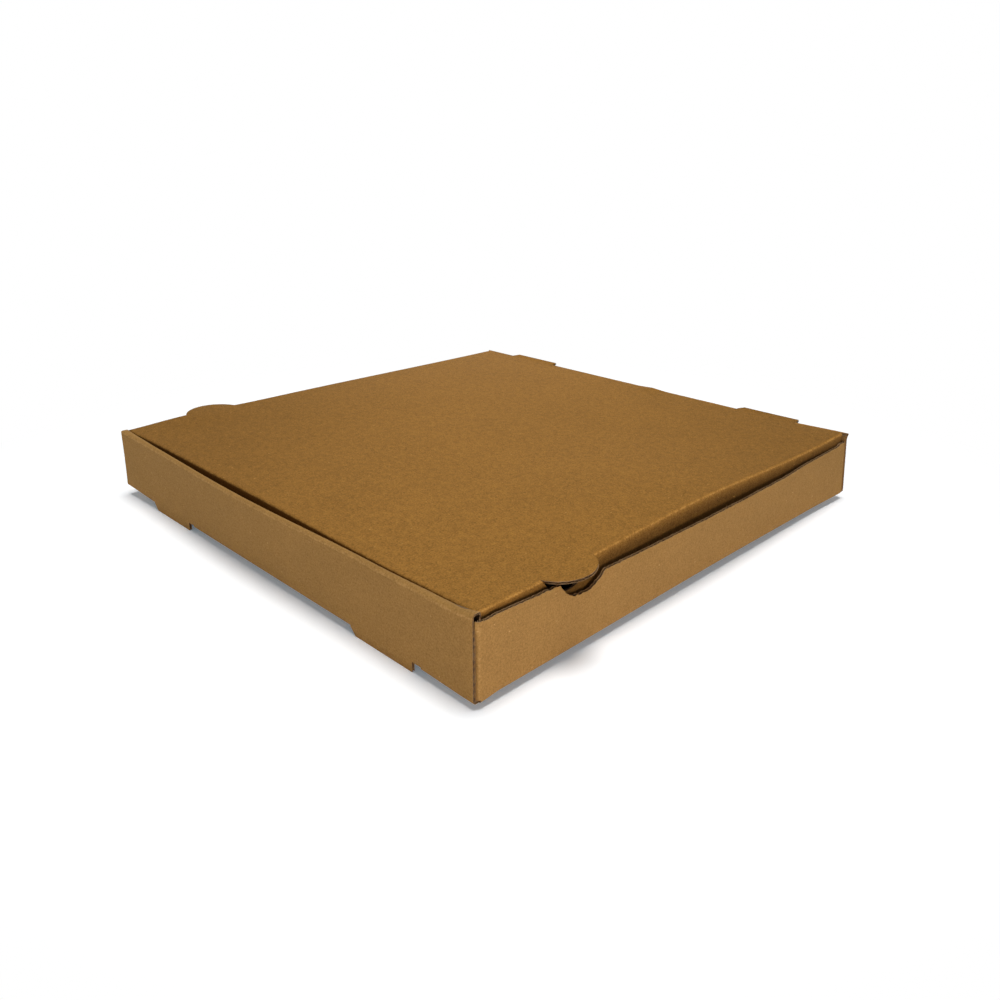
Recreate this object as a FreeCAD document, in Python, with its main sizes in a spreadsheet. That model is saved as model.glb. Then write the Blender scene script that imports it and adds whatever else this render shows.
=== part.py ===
import FreeCAD, Part
import os
import re

import Sketcher

# Shipping and take-away box for a pizza, folded from one die-cut sheet of thin corrugated board.
# Two bodies meet at the rear top crease: the tray (base, four walls, corner flaps) and the lid.
# Origin: centre of the base's underside. +X right, +Y to the rear crease, +Z up. Millimetres.

SIZES = {
    # the sheet
    "board": "1.5",
    "fold_radius": "1.2",
    "play": "0.15",
    # outer size of the folded box
    "width": "330",
    "depth": "330",
    "height": "39.5",
    # side walls, lower than the front so that the lid's tabs pass over them
    "side_drop": "3",
    "dip_depth": "1.5",
    "dip_rear": "80",
    "dip_slope": "35",
    "corner_flap_length": "60",
    "corner_flap_drop": "7.5",
    "corner_flap_taper": "8",
    # finger notch in each side wall, under the lid's round thumb tab
    "thumb_setback": "65",
    "notch_radius": "17.3",
    "notch_depth": "10.8",
    "thumb_chord": "40",
    "thumb_reach": "11",
    # feet cut from the base slots, left in the plane of the front wall
    "foot_length": "45.5",
    "foot_spacing": "207",
    "foot_shift": "-2",
    "foot_drop": "3.8",
    "relief_length": "6",
    "relief_rise": "1.5",
    "lock_play": "0.75",
    # tabs cut from the rear wall, left in the plane of the lid
    "vent_length": "44",
    "vent_spacing": "218",
    "vent_shift": "-3",
    "vent_reach": "4.2",
    "vent_slant": "3",
    "vent_play": "0.5",
    # lid
    "lid_side_gap": "1.7",
    "lid_front_gap": "0.3",
    "tuck_depth": "25",
    "tuck_play": "0.6",
    "tuck_inset": "12",
    "tuck_taper": "10",
    "side_flap_depth": "28",
    "side_flap_inset": "9",
    "side_flap_taper": "14",
}

# Places worked out from the driving sizes
FOLD = "min(fold_radius; 0.9 * board)"
RIGHT = "(width / 2)"
FRONT = "(-depth / 2)"
REAR = "(depth / 2)"
FRONT_INNER = f"({FRONT} + board)"
REAR_INNER = f"({REAR} - board)"
ROLL_DEPTH = "(3 * board + 2 * play)"
ROLL_INNER = f"({FRONT} + {ROLL_DEPTH})"
SIDE_TOP = "(height - side_drop)"
FLAP_TOP = "(height - corner_flap_drop)"
THUMB_Y = f"({FRONT} + thumb_setback)"
NOTCH_CENTRE = f"({SIDE_TOP} - notch_depth + notch_radius)"
THUMB_RADIUS = "((thumb_chord^2 / 4 + thumb_reach^2) / (2 * thumb_reach))"
LID_HALF = "(width / 2 - board - lid_side_gap)"
LID_FRONT = f"({ROLL_INNER} + lid_front_gap)"
LID_UNDER = "(height - board)"
# the tuck flap leans in by what its lower edge would swing out when the lid opens
TUCK_LEAN = "(tuck_depth^2 / (2 * depth) + tuck_play)"

ALIAS = re.compile("|".join(rf"\b{name}\b" for name in SIZES))


def bound(expression):
    """The expression with each size's name turned into its cell in the sheet."""
    return ALIAS.sub(lambda found: "Sizes." + found.group(), expression)


def make_sheet(doc):
    """Spreadsheet with one named cell for each driving size."""
    sheet = doc.addObject("Spreadsheet::Sheet", "Sizes")
    for row, (name, value) in enumerate(SIZES.items(), start=1):
        sheet.set(f"A{row}", name)
        sheet.set(f"B{row}", value)
        sheet.setAlias(f"B{row}", name)
    doc.recompute()
    return sheet


def make_body(doc, label):
    """Empty body that becomes one node of the part."""
    body = doc.addObject("PartDesign::Body", label)
    body.Label = label
    body.Placement = FreeCAD.Placement()
    return body


def make_sketch(body, name, plane, level):
    """Sketch parallel to one of the body's origin planes, at a bound distance along its normal."""
    sketch = body.newObject("Sketcher::SketchObject", name)
    support = next(item for item in body.Origin.OriginFeatures if item.Role == plane)
    sketch.AttachmentSupport = [(support, "")]
    sketch.MapMode = "FlatFace"
    sketch.setExpression("AttachmentOffset.Base.z", bound(level))
    return sketch


def pin(sketch, geometry, point, corner):
    """Fix one point of the sketch at its bound place."""
    for kind, place in zip(("DistanceX", "DistanceY"), corner):
        value = sketch.evalExpression(bound(place))
        number = sketch.addConstraint(Sketcher.Constraint(kind, -1, 1, geometry, point, value))
        sketch.setExpression(f"Constraints[{number}]", bound(place))


def set_radius(sketch, geometry, radius):
    """Bind the radius of an arc or circle."""
    value = sketch.evalExpression(bound(radius))
    number = sketch.addConstraint(Sketcher.Constraint("Radius", geometry, value))
    sketch.setExpression(f"Constraints[{number}]", bound(radius))


def arc_through(start, end, radius, turn):
    """Arc from start to end that bows to the right (turn 1) or to the left (turn -1) of travel."""
    chord = end - start
    side = FreeCAD.Vector(chord.y, -chord.x, 0).normalize() * turn
    rise = radius - (radius ** 2 - chord.Length ** 2 / 4) ** 0.5
    return Part.Arc(start, (start + end) / 2 + side * rise, end)


def draw_outline(sketch, corners):
    """Closed outline. A corner is (x, y), or (x, y, radius, turn) where an arc leaves it."""
    points = [FreeCAD.Vector(*(sketch.evalExpression(bound(place)) for place in corner[:2]), 0)
              for corner in corners]
    ends = []
    for index, corner in enumerate(corners):
        start = points[index]
        end = points[(index + 1) % len(points)]
        if len(corner) == 2:
            geometry = sketch.addGeometry(Part.LineSegment(start, end))
            ends.append((geometry, 1, 2))
            continue
        radius, turn = corner[2:]
        value = sketch.evalExpression(bound(radius))
        geometry = sketch.addGeometry(arc_through(start, end, value, turn))
        set_radius(sketch, geometry, radius)
        ends.append((geometry, 1, 2) if turn == 1 else (geometry, 2, 1))
    for index, (geometry, first, last) in enumerate(ends):
        following, follow_start, _ = ends[(index + 1) % len(ends)]
        sketch.addConstraint(Sketcher.Constraint("Coincident", geometry, last, following, follow_start))
        pin(sketch, geometry, first, corners[index][:2])


def draw_circle(sketch, centre, radius):
    """Circle at a bound place with a bound radius."""
    place = FreeCAD.Vector(*(sketch.evalExpression(bound(part)) for part in centre), 0)
    value = sketch.evalExpression(bound(radius))
    geometry = sketch.addGeometry(Part.Circle(place, FreeCAD.Vector(0, 0, 1), value))
    pin(sketch, geometry, 3, centre)
    set_radius(sketch, geometry, radius)


def add_pad(body, sketch, length, both_ways=False):
    """Pad along the sketch's normal, or half each way."""
    pad = body.newObject("PartDesign::Pad", sketch.Name + "Pad")
    pad.Profile = sketch
    pad.SideType = "Symmetric" if both_ways else "One side"
    pad.setExpression("Length", bound(length))
    body.Document.recompute()
    return pad


def add_pocket(body, sketch, length=None):
    """Pocket of a bound length shared both ways, or through everything both ways."""
    before = body.Shape.Volume
    pocket = body.newObject("PartDesign::Pocket", sketch.Name + "Pocket")
    pocket.Profile = sketch
    pocket.SideType = "Symmetric"
    if length is None:
        pocket.Type = "ThroughAll"
    else:
        pocket.setExpression("Length", bound(length))
    body.Document.recompute()
    if not body.Shape.Volume < before:
        raise RuntimeError(f"{pocket.Name} removes nothing")
    return pocket


def mirrored(corners, sign):
    """Outline corners with x turned to the other side and the order kept anticlockwise."""
    if sign > 0:
        return corners
    flipped = []
    for index in range(len(corners)):
        corner = corners[-index]
        leaving = corners[-index - 1][2:]
        flipped.append((f"-({corner[0]})", corner[1], *leaving))
    return flipped


def sides():
    """Name and sign of the right and left side."""
    return (("Right", 1), ("Left", -1))


def tab_ends(spacing, shift, length):
    """Left and right end of each of two tabs that are spaced about the shifted middle."""
    centres = (("Left", f"({shift} - {spacing} / 2)"), ("Right", f"({shift} + {spacing} / 2)"))
    return [(name, f"({centre} - {length} / 2)", f"({centre} + {length} / 2)")
            for name, centre in centres]


def feet():
    """Name and ends of each foot."""
    return tab_ends("foot_spacing", "foot_shift", "foot_length")


def vents():
    """Name and ends of each rear tab and of the vent that it leaves."""
    return tab_ends("vent_spacing", "vent_shift", "vent_length")


def add_base(body):
    """Base panel with rounded folds along both sides, and the slots behind the feet."""
    section = make_sketch(body, "BaseSection", "XZ_Plane", "0")
    draw_outline(section, [
        (f"-{RIGHT}", "board"),
        (f"-{RIGHT}", FOLD, FOLD, 1),
        (f"{FOLD} - {RIGHT}", "0"),
        (f"{RIGHT} - {FOLD}", "0", FOLD, 1),
        (RIGHT, FOLD),
        (RIGHT, "board"),
    ])
    add_pad(body, section, "depth - 2 * board", both_ways=True)
    for name, left, right in feet():
        slot = make_sketch(body, f"BaseSlot{name}", "XY_Plane", "0")
        draw_outline(slot, [
            (left, FRONT_INNER),
            (f"{right} + relief_length", FRONT_INNER),
            (f"{right} + relief_length", f"{ROLL_INNER} + play"),
            (left, f"{ROLL_INNER} + play"),
        ])
        add_pocket(body, slot)


def add_front_wall(body):
    """Roll-over front wall: outer panel, top band and inner panel, with its reliefs."""
    section = make_sketch(body, "FrontSection", "YZ_Plane", "0")
    draw_outline(section, [
        (FRONT_INNER, "0"),
        (FRONT_INNER, LID_UNDER),
        (f"{ROLL_INNER} - board", LID_UNDER),
        (f"{ROLL_INNER} - board", "board"),
        (ROLL_INNER, "board"),
        (ROLL_INNER, f"height - {FOLD}", FOLD, 1),
        (f"{ROLL_INNER} - {FOLD}", "height"),
        (f"{FRONT} + {FOLD}", "height", FOLD, 1),
        (FRONT, f"height - {FOLD}"),
        (FRONT, FOLD, FOLD, 1),
        (f"{FRONT} + {FOLD}", "0"),
    ])
    add_pad(body, section, "width", both_ways=True)
    for name, _, right in feet():
        relief = make_sketch(body, f"Relief{name}", "XZ_Plane", f"-({FRONT} + board / 2)")
        draw_outline(relief, [
            (right, "-board"),
            (f"{right} + relief_length", "-board"),
            (f"{right} + relief_length", "0"),
            (f"{right} + relief_length - relief_rise", "relief_rise"),
            (right, "relief_rise"),
        ])
        add_pocket(body, relief, "board")


def add_feet(body):
    """Feet in the plane of the front wall, and the locking tabs that fill the slots behind."""
    for name, left, right in feet():
        foot = make_sketch(body, f"Foot{name}", "XZ_Plane", f"-{FRONT_INNER}")
        draw_outline(foot, [
            (left, "0"),
            (f"{left} + foot_drop", "-foot_drop"),
            (right, "-foot_drop"),
            (right, "2 * board"),
            (left, "2 * board"),
        ])
        add_pad(body, foot, "board")
        lock = make_sketch(body, f"Lock{name}", "XZ_Plane", f"-{ROLL_INNER}")
        draw_outline(lock, [
            (f"{left} + lock_play", "0"),
            (f"{right} - lock_play", "0"),
            (f"{right} - lock_play", "2 * board"),
            (f"{left} + lock_play", "2 * board"),
        ])
        add_pad(body, lock, "board")


def add_rear_wall(body):
    """Rear wall, mitred at the crease that it shares with the lid, with its two vents."""
    section = make_sketch(body, "RearSection", "YZ_Plane", "0")
    draw_outline(section, [
        (REAR_INNER, "0"),
        (f"{REAR} - {FOLD}", "0", FOLD, 1),
        (REAR, FOLD),
        (REAR, "height"),
        (REAR_INNER, LID_UNDER),
    ])
    add_pad(body, section, "width", both_ways=True)
    for name, left, right in vents():
        vent = make_sketch(body, f"Vent{name}", "XZ_Plane", f"-{REAR}")
        draw_outline(vent, [
            (f"{left} - vent_play", "height - vent_reach - 2 * vent_play"),
            (f"{right} + vent_play", "height - vent_reach - 2 * vent_play"),
            (f"{right} + vent_play", "height + board"),
            (f"{left} - vent_play", "height + board"),
        ])
        add_pocket(body, vent, "2 * (board + play)")


def add_side_walls(body):
    """Side walls with rounded corners, each with a corner flap at both ends."""
    flap_front = f"({FRONT_INNER} + play)"
    flap_rear = f"({REAR_INNER} - play)"
    for side, sign in sides():
        wall = make_sketch(body, f"Wall{side}", "XY_Plane", "board")
        draw_outline(wall, mirrored([
            (f"{RIGHT} - board", flap_front),
            (f"{RIGHT} - {FOLD}", flap_front, FOLD, 1),
            (RIGHT, f"{flap_front} + {FOLD}"),
            (RIGHT, f"{flap_rear} - {FOLD}", FOLD, 1),
            (f"{RIGHT} - {FOLD}", flap_rear),
            (f"{RIGHT} - board", flap_rear),
        ], sign))
        add_pad(body, wall, f"{SIDE_TOP} - board")
        for end, face in (("Front", f"({flap_front} + board)"), ("Rear", flap_rear)):
            flap = make_sketch(body, f"CornerFlap{end}{side}", "XZ_Plane", f"-{face}")
            draw_outline(flap, mirrored([
                (f"{RIGHT} - board", "board"),
                (f"{RIGHT} - board", FLAP_TOP),
                (f"{RIGHT} - corner_flap_length + corner_flap_taper", FLAP_TOP),
                (f"{RIGHT} - corner_flap_length", f"{FLAP_TOP} - corner_flap_taper"),
                (f"{RIGHT} - corner_flap_length", "board"),
            ], sign))
            add_pad(body, flap, "board")


def cut_side_walls(body):
    """Finger notches and the long shallow dip in the top edge of both side walls."""
    notch = make_sketch(body, "FingerNotch", "YZ_Plane", "0")
    draw_circle(notch, (THUMB_Y, NOTCH_CENTRE), "notch_radius")
    add_pocket(body, notch)
    dip = make_sketch(body, "SideDip", "YZ_Plane", "0")
    draw_outline(dip, [
        (THUMB_Y, f"{SIDE_TOP} - dip_depth"),
        ("dip_rear", f"{SIDE_TOP} - dip_depth"),
        ("dip_rear + dip_slope", SIDE_TOP),
        ("dip_rear + dip_slope", f"{SIDE_TOP} + board"),
        (THUMB_Y, f"{SIDE_TOP} + board"),
    ])
    add_pocket(body, dip)


def add_lid_panel(body):
    """Lid panel, mitred at the rear crease and rounded at the front fold."""
    section = make_sketch(body, "LidSection", "YZ_Plane", "0")
    draw_outline(section, [
        (REAR, "height"),
        (f"{LID_FRONT} + {FOLD}", "height", FOLD, 1),
        (LID_FRONT, f"height - {FOLD}"),
        (LID_FRONT, LID_UNDER),
        (REAR_INNER, LID_UNDER),
    ])
    add_pad(body, section, f"2 * ({LID_HALF} - board)", both_ways=True)


def add_tuck_flap(body):
    """Front tuck flap, which leans in towards its lower edge and is tapered at both ends."""
    half = f"({LID_HALF} - tuck_inset)"
    section = make_sketch(body, "TuckSection", "YZ_Plane", "0")
    draw_outline(section, [
        (LID_FRONT, LID_UNDER),
        (f"{LID_FRONT} + {TUCK_LEAN}", "height - tuck_depth"),
        (f"{LID_FRONT} + {TUCK_LEAN} + board", "height - tuck_depth"),
        (f"{LID_FRONT} + board", LID_UNDER),
    ])
    add_pad(body, section, f"2 * {half}", both_ways=True)
    middle = f"-({LID_FRONT} + ({TUCK_LEAN} + board) / 2)"
    for side, sign in sides():
        taper = make_sketch(body, f"TuckTaper{side}", "XZ_Plane", middle)
        draw_outline(taper, mirrored([
            (f"{half} - tuck_taper", "height - tuck_depth"),
            (half, "height - tuck_depth"),
            (half, "height - tuck_depth + tuck_taper"),
        ], sign))
        add_pocket(body, taper, f"{TUCK_LEAN} + 3 * board")


def add_side_flaps(body):
    """Side flaps with their rounded folds, each with the round cut that the thumb tab leaves."""
    flap_front = f"({LID_FRONT} + side_flap_inset)"
    flap_rear = f"({REAR_INNER} - side_flap_inset)"
    flap_bottom = "(height - side_flap_depth)"
    cut_half = f"sqrt({THUMB_RADIUS}^2 - ({THUMB_RADIUS} - thumb_reach + board)^2)"
    for side, sign in sides():
        rail = make_sketch(body, f"SideFold{side}", "XZ_Plane", f"-{REAR_INNER}")
        draw_outline(rail, mirrored([
            (f"{LID_HALF} - board", LID_UNDER),
            (LID_HALF, LID_UNDER),
            (LID_HALF, f"height - {FOLD}", FOLD, 1),
            (f"{LID_HALF} - {FOLD}", "height"),
            (f"{LID_HALF} - board", "height"),
        ], sign))
        add_pad(body, rail, f"{REAR_INNER} - {LID_FRONT} - {FOLD}")
        face = f"{LID_HALF} - board" if sign > 0 else f"-{LID_HALF}"
        flap = make_sketch(body, f"SideFlap{side}", "YZ_Plane", face)
        draw_outline(flap, [
            (flap_front, LID_UNDER),
            (f"{flap_front} + side_flap_taper", flap_bottom),
            (f"{flap_rear} - side_flap_taper", flap_bottom),
            (flap_rear, LID_UNDER),
            (f"{THUMB_Y} + {cut_half}", LID_UNDER, THUMB_RADIUS, -1),
            (f"{THUMB_Y} - {cut_half}", LID_UNDER),
        ])
        add_pad(body, flap, "board")


def add_lid_tabs(body):
    """Round thumb tabs at both sides and the two tabs behind the rear crease."""
    for side, sign in sides():
        thumb = make_sketch(body, f"ThumbTab{side}", "XY_Plane", LID_UNDER)
        draw_circle(thumb, (f"{sign} * ({LID_HALF} + thumb_reach - {THUMB_RADIUS})", THUMB_Y),
                    THUMB_RADIUS)
        add_pad(body, thumb, "board")
    for name, left, right in vents():
        tab = make_sketch(body, f"RearTab{name}", "XY_Plane", LID_UNDER)
        draw_outline(tab, [
            (left, f"{REAR_INNER} - board"),
            (right, f"{REAR_INNER} - board"),
            (right, f"{REAR} + vent_reach"),
            (f"{left} + vent_slant", f"{REAR} + vent_reach"),
            (left, REAR),
        ])
        add_pad(body, tab, "board")


def make_tray(doc):
    """The tray as one folded piece."""
    body = make_body(doc, "tray")
    add_base(body)
    add_front_wall(body)
    add_feet(body)
    add_rear_wall(body)
    add_side_walls(body)
    cut_side_walls(body)
    return body


def make_lid(doc):
    """The lid as one folded piece."""
    body = make_body(doc, "lid")
    add_lid_panel(body)
    add_tuck_flap(body)
    add_side_flaps(body)
    add_lid_tabs(body)
    return body


def check_model(doc, bodies):
    """Stop if any feature failed or a body isn't one valid solid."""
    for item in doc.Objects:
        if "Invalid" in item.State or "Error" in item.State:
            raise RuntimeError(f"{item.Label} failed: {item.State}")
    for body in bodies:
        shape = body.Shape
        if shape.isNull() or not shape.isValid():
            raise RuntimeError(f"{body.Label} has no valid shape")
        if len(shape.Solids) != 1:
            raise RuntimeError(f"{body.Label} has {len(shape.Solids)} solids")


def main():
    """Build the box, check it and write one STEP file for each body."""
    doc = FreeCAD.newDocument("PizzaBox")
    make_sheet(doc)
    bodies = [make_tray(doc), make_lid(doc)]
    doc.recompute()
    check_model(doc, bodies)
    os.makedirs("parts", exist_ok=True)
    for body in bodies:
        body.Shape.exportStep(os.path.join("parts", f"{body.Label}.step"))
        box = body.Shape.BoundBox
        print(f"{body.Label}: volume {body.Shape.Volume:.0f} mm3, "
              f"x {box.XMin:.2f} {box.XMax:.2f}, y {box.YMin:.2f} {box.YMax:.2f}, "
              f"z {box.ZMin:.2f} {box.ZMax:.2f}")


main()
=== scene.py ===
"""Looks of a pizza box folded from one sheet of thin corrugated kraft board.

Each part of the box is cut flat, as the die cuts it, and laid on its folds as three papers:
outer liner, fluted medium and inner liner. Raw edges therefore show the real flutes.
Metres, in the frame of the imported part: +X right side, -Y roll-over front, +Y lid crease.
"""

import logging
import math
from dataclasses import dataclass
from enum import Enum
from typing import Callable, Protocol, Sequence

import bpy
import numpy as np
from mathutils import Matrix, Vector


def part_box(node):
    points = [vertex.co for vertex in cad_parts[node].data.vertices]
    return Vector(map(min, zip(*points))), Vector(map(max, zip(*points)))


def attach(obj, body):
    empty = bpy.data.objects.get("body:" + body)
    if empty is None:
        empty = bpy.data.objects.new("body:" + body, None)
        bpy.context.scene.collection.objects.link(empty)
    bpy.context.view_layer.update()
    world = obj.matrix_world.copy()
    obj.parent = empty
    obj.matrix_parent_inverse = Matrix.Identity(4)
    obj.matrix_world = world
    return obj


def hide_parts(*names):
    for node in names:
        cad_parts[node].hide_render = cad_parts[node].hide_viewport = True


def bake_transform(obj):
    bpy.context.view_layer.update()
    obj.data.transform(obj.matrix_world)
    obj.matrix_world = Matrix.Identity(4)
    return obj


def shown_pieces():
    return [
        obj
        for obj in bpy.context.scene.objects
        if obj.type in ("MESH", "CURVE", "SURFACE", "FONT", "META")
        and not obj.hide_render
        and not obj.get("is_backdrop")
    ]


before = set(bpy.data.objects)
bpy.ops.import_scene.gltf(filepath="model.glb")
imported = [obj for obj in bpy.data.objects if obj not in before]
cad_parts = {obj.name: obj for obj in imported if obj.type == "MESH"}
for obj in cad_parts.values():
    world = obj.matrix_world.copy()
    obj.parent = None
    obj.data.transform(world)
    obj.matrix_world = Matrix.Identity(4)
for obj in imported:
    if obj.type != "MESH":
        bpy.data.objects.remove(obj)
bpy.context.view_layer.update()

MM = 0.001
FLAT_TOLERANCE = 1e-7
RIGHT_ANGLE = math.pi / 2

# Widest gaps between mesh lines, along the flutes and across them
PAPER_GAP = 11 * MM
FLUTE_GAP = 22 * MM
THUMB_GAP = 3 * MM
STRIP_GAP = 9 * MM
WALL_GAP = 8 * MM

# Places along the rear crease where mesh lines follow its small hump
HUMP_LINES = np.array([0.0, 6, 12, 18, 24]) * MM

log = logging.getLogger("pizza_box")

Point = tuple[float, float]
Loop = list[Point]
Settle = Callable[[np.ndarray], np.ndarray]


def ease(share: np.ndarray | float) -> np.ndarray:
    """Smooth step from 0 to 1 as the share goes from 0 to 1."""
    held = np.clip(share, 0.0, 1.0)
    return held * held * (3 - 2 * held)


@dataclass(frozen=True)
class Rise:
    """Smooth step along a coordinate, 0 up to its start and 1 from a reach further on."""

    start: float
    reach: float

    def at(self, along: np.ndarray | float) -> np.ndarray:
        """Height of the step at each coordinate."""
        return ease((along - self.start) / self.reach)


@dataclass(frozen=True)
class Arch:
    """Smooth hump along a coordinate, 1 at its middle and 0 from its reach on each side."""

    middle: float
    before: float
    after: float

    def at(self, along: np.ndarray) -> np.ndarray:
        """Height of the hump at each coordinate."""
        offset = along - self.middle
        share = np.abs(offset) / np.where(offset < 0, self.before, self.after)
        return np.cos(RIGHT_ANGLE * np.clip(share, 0, 1)) ** 2


def spaced(low: float, high: float, gap: float) -> np.ndarray:
    """Evenly spaced coordinates from low to high, no more than a gap apart."""
    return np.linspace(low, high, max(2, math.ceil((high - low) / gap) + 1))


def stretches(shift: float, spacing: float, length: float) -> tuple[tuple[float, float], ...]:
    """Left and right end of two equal stretches, a spacing apart and shifted from the middle."""
    middles = (shift - spacing / 2, shift + spacing / 2)
    return tuple((middle - length / 2, middle + length / 2) for middle in middles)


def arc(centre: Point, radius: float, start: float, end: float, parts: int) -> Loop:
    """Points of an arc, both ends included.

    Args:
        centre: centre of the arc.
        radius: its radius.
        start: angle of the first point, in radians.
        end: angle of the last point, in radians.
        parts: number of chords.

    Returns:
        The points in order.
    """
    return [(centre[0] + radius * math.cos(angle), centre[1] + radius * math.sin(angle))
            for angle in np.linspace(start, end, parts + 1)]


class Layer(Enum):
    """The three papers of single-wall corrugated board."""

    OUTER = "outer_liner"
    FLUTES = "flutes"
    INNER = "inner_liner"


@dataclass(frozen=True)
class BoardStock:
    """Single-wall E-flute board."""

    thickness: float = 1.5 * MM
    liner: float = 0.26 * MM
    medium: float = 0.20 * MM
    pitch: float = 3.4 * MM
    steps_per_flute: int = 8

    def depths(self, layer: Layer, across: np.ndarray) -> tuple[np.ndarray, np.ndarray]:
        """Depth of a paper's two faces under the board's outer face.

        Args:
            layer: which of the papers.
            across: coordinates across the flutes.

        Returns:
            The depth of the near face and of the far face.
        """
        level = np.zeros_like(across)
        if layer is Layer.OUTER:
            return level, level + self.liner
        if layer is Layer.INNER:
            return level + self.thickness - self.liner, level + self.thickness
        swing = (self.thickness - 2 * self.liner - self.medium) / 2
        wave = self.thickness / 2 + swing * np.cos(2 * math.pi * across / self.pitch)
        return wave - self.medium / 2, wave + self.medium / 2


BOARD = BoardStock()


class FoldPath:
    """Outer line of folded board in one plane, with round folds, read by its flat length.

    Every fold turns to the right of travel, and the board lies on the right of the line.
    """

    tightest = 0.12 * MM
    rub_reach = 0.45 * MM
    ridge_share = 0.4
    widest_ridge = 2 * MM
    line_offsets = (0.8 * MM, 1.6 * MM)

    def __init__(self, corners: Sequence[Point], radii: Sequence[float],
                 rubbed: Sequence[float] = ()) -> None:
        """Work out the straights, the folds and where each starts in the flat.

        Args:
            corners: ends and corners of the outer line.
            radii: outer radius of the fold at each inner corner.
            rubbed: how much each fold is rubbed, from 0 to 1, if not all by half.
        """
        self.rubbed = list(rubbed) or [0.5] * len(radii)
        self.corners = np.array(corners, float)
        self.radii = np.array(radii, float)
        steps = np.diff(self.corners, axis=0)
        lengths = np.linalg.norm(steps, axis=1)
        self.ahead = steps / lengths[:, None]
        self.inward = np.stack([self.ahead[:, 1], -self.ahead[:, 0]], axis=1)
        cosines = (self.ahead[:-1] * self.ahead[1:]).sum(axis=1)
        self.angles = np.arccos(np.clip(cosines, -1, 1))
        self.miters = (self.inward[:-1] + self.inward[1:]) / (1 + cosines)[:, None]
        self.tangents = self.radii * np.tan(self.angles / 2)
        used = np.append(self.tangents, 0) + np.insert(self.tangents, 0, 0)
        marks = [0.0]
        for index, run in enumerate(lengths - used):
            marks.append(marks[-1] + run)
            if index < len(self.radii):
                marks.append(marks[-1] + self.radii[index] * self.angles[index])
        self.marks = np.array(marks)

    def flat(self, straight: int, distance: float) -> float:
        """Flat length at a distance from the corner where a straight starts."""
        lead = self.tangents[straight - 1] if straight else 0.0
        return float(self.marks[2 * straight] + distance - lead)

    def folds(self) -> list[tuple[float, float]]:
        """Flat length at which each fold starts and ends."""
        return [(float(self.marks[2 * index + 1]), float(self.marks[2 * index + 2]))
                for index in range(len(self.radii))]

    def _tangent_point(self, fold: int, depth: np.ndarray, leaving: bool) -> np.ndarray:
        """Where a straight meets a fold at some depth, before the fold or on leaving it."""
        corner = self.corners[fold + 1] + depth[:, None] * self.miters[fold]
        radius = np.maximum(self.radii[fold] - depth, self.tightest)
        run = (radius * math.tan(self.angles[fold] / 2))[:, None]
        if leaving:
            return corner + run * self.ahead[fold + 1]
        return corner - run * self.ahead[fold]

    def point(self, flat: np.ndarray, depth: np.ndarray) -> np.ndarray:
        """Place in the plane of points on the board.

        Args:
            flat: flat length of each point along the line.
            depth: depth of each point under the outer face.

        Returns:
            One row of two coordinates for each point.
        """
        place = np.empty((len(flat), 2))
        last = len(self.ahead) - 1
        part = np.clip(np.searchsorted(self.marks, flat, side="right") - 1, 0, 2 * last)
        for index in range(last + 1):
            on = part == 2 * index
            inset = depth[on][:, None] * self.inward[index]
            start = self.corners[index] + inset
            end = self.corners[index + 1] + inset
            if index > 0:
                start = self._tangent_point(index - 1, depth[on], True)
            if index < last:
                end = self._tangent_point(index, depth[on], False)
            low, high = self.marks[2 * index], self.marks[2 * index + 1]
            share = ((flat[on] - low) / (high - low))[:, None]
            place[on] = start + share * (end - start)
        for index in range(last):
            on = part == 2 * index + 1
            low, high = self.marks[2 * index + 1], self.marks[2 * index + 2]
            turn = ((flat[on] - low) / (high - low) * self.angles[index])[:, None]
            radius = np.maximum(self.radii[index] - depth[on], self.tightest)[:, None]
            centre = self._tangent_point(index, depth[on], False) + radius * self.inward[index]
            spoke = self.inward[index] * np.cos(turn) - self.ahead[index] * np.sin(turn)
            place[on] = centre - radius * spoke
        return place

    def wear(self, flat: np.ndarray) -> np.ndarray:
        """How much each point lies on a rubbed fold, from 0 to 1."""
        rubbed = np.zeros_like(flat)
        for (start, end), amount in zip(self.folds(), self.rubbed):
            ridge = start + self.ridge_share * min(end - start, self.widest_ridge)
            rubbed = np.maximum(rubbed, amount * np.exp(-((flat - ridge) / self.rub_reach) ** 2))
        return rubbed

    def lines(self, gap: float, bends: int = 6) -> np.ndarray:
        """Flat lengths for a mesh: dense in the folds, near them, and a gap apart elsewhere."""
        found = []
        for index in range(len(self.ahead)):
            found.extend(spaced(self.marks[2 * index], self.marks[2 * index + 1], gap))
        for start, end in self.folds():
            found.extend(np.linspace(start, end, bends + 1))
            for offset in self.line_offsets:
                found.extend([start - offset, end + offset])
        return np.array(found)


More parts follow.
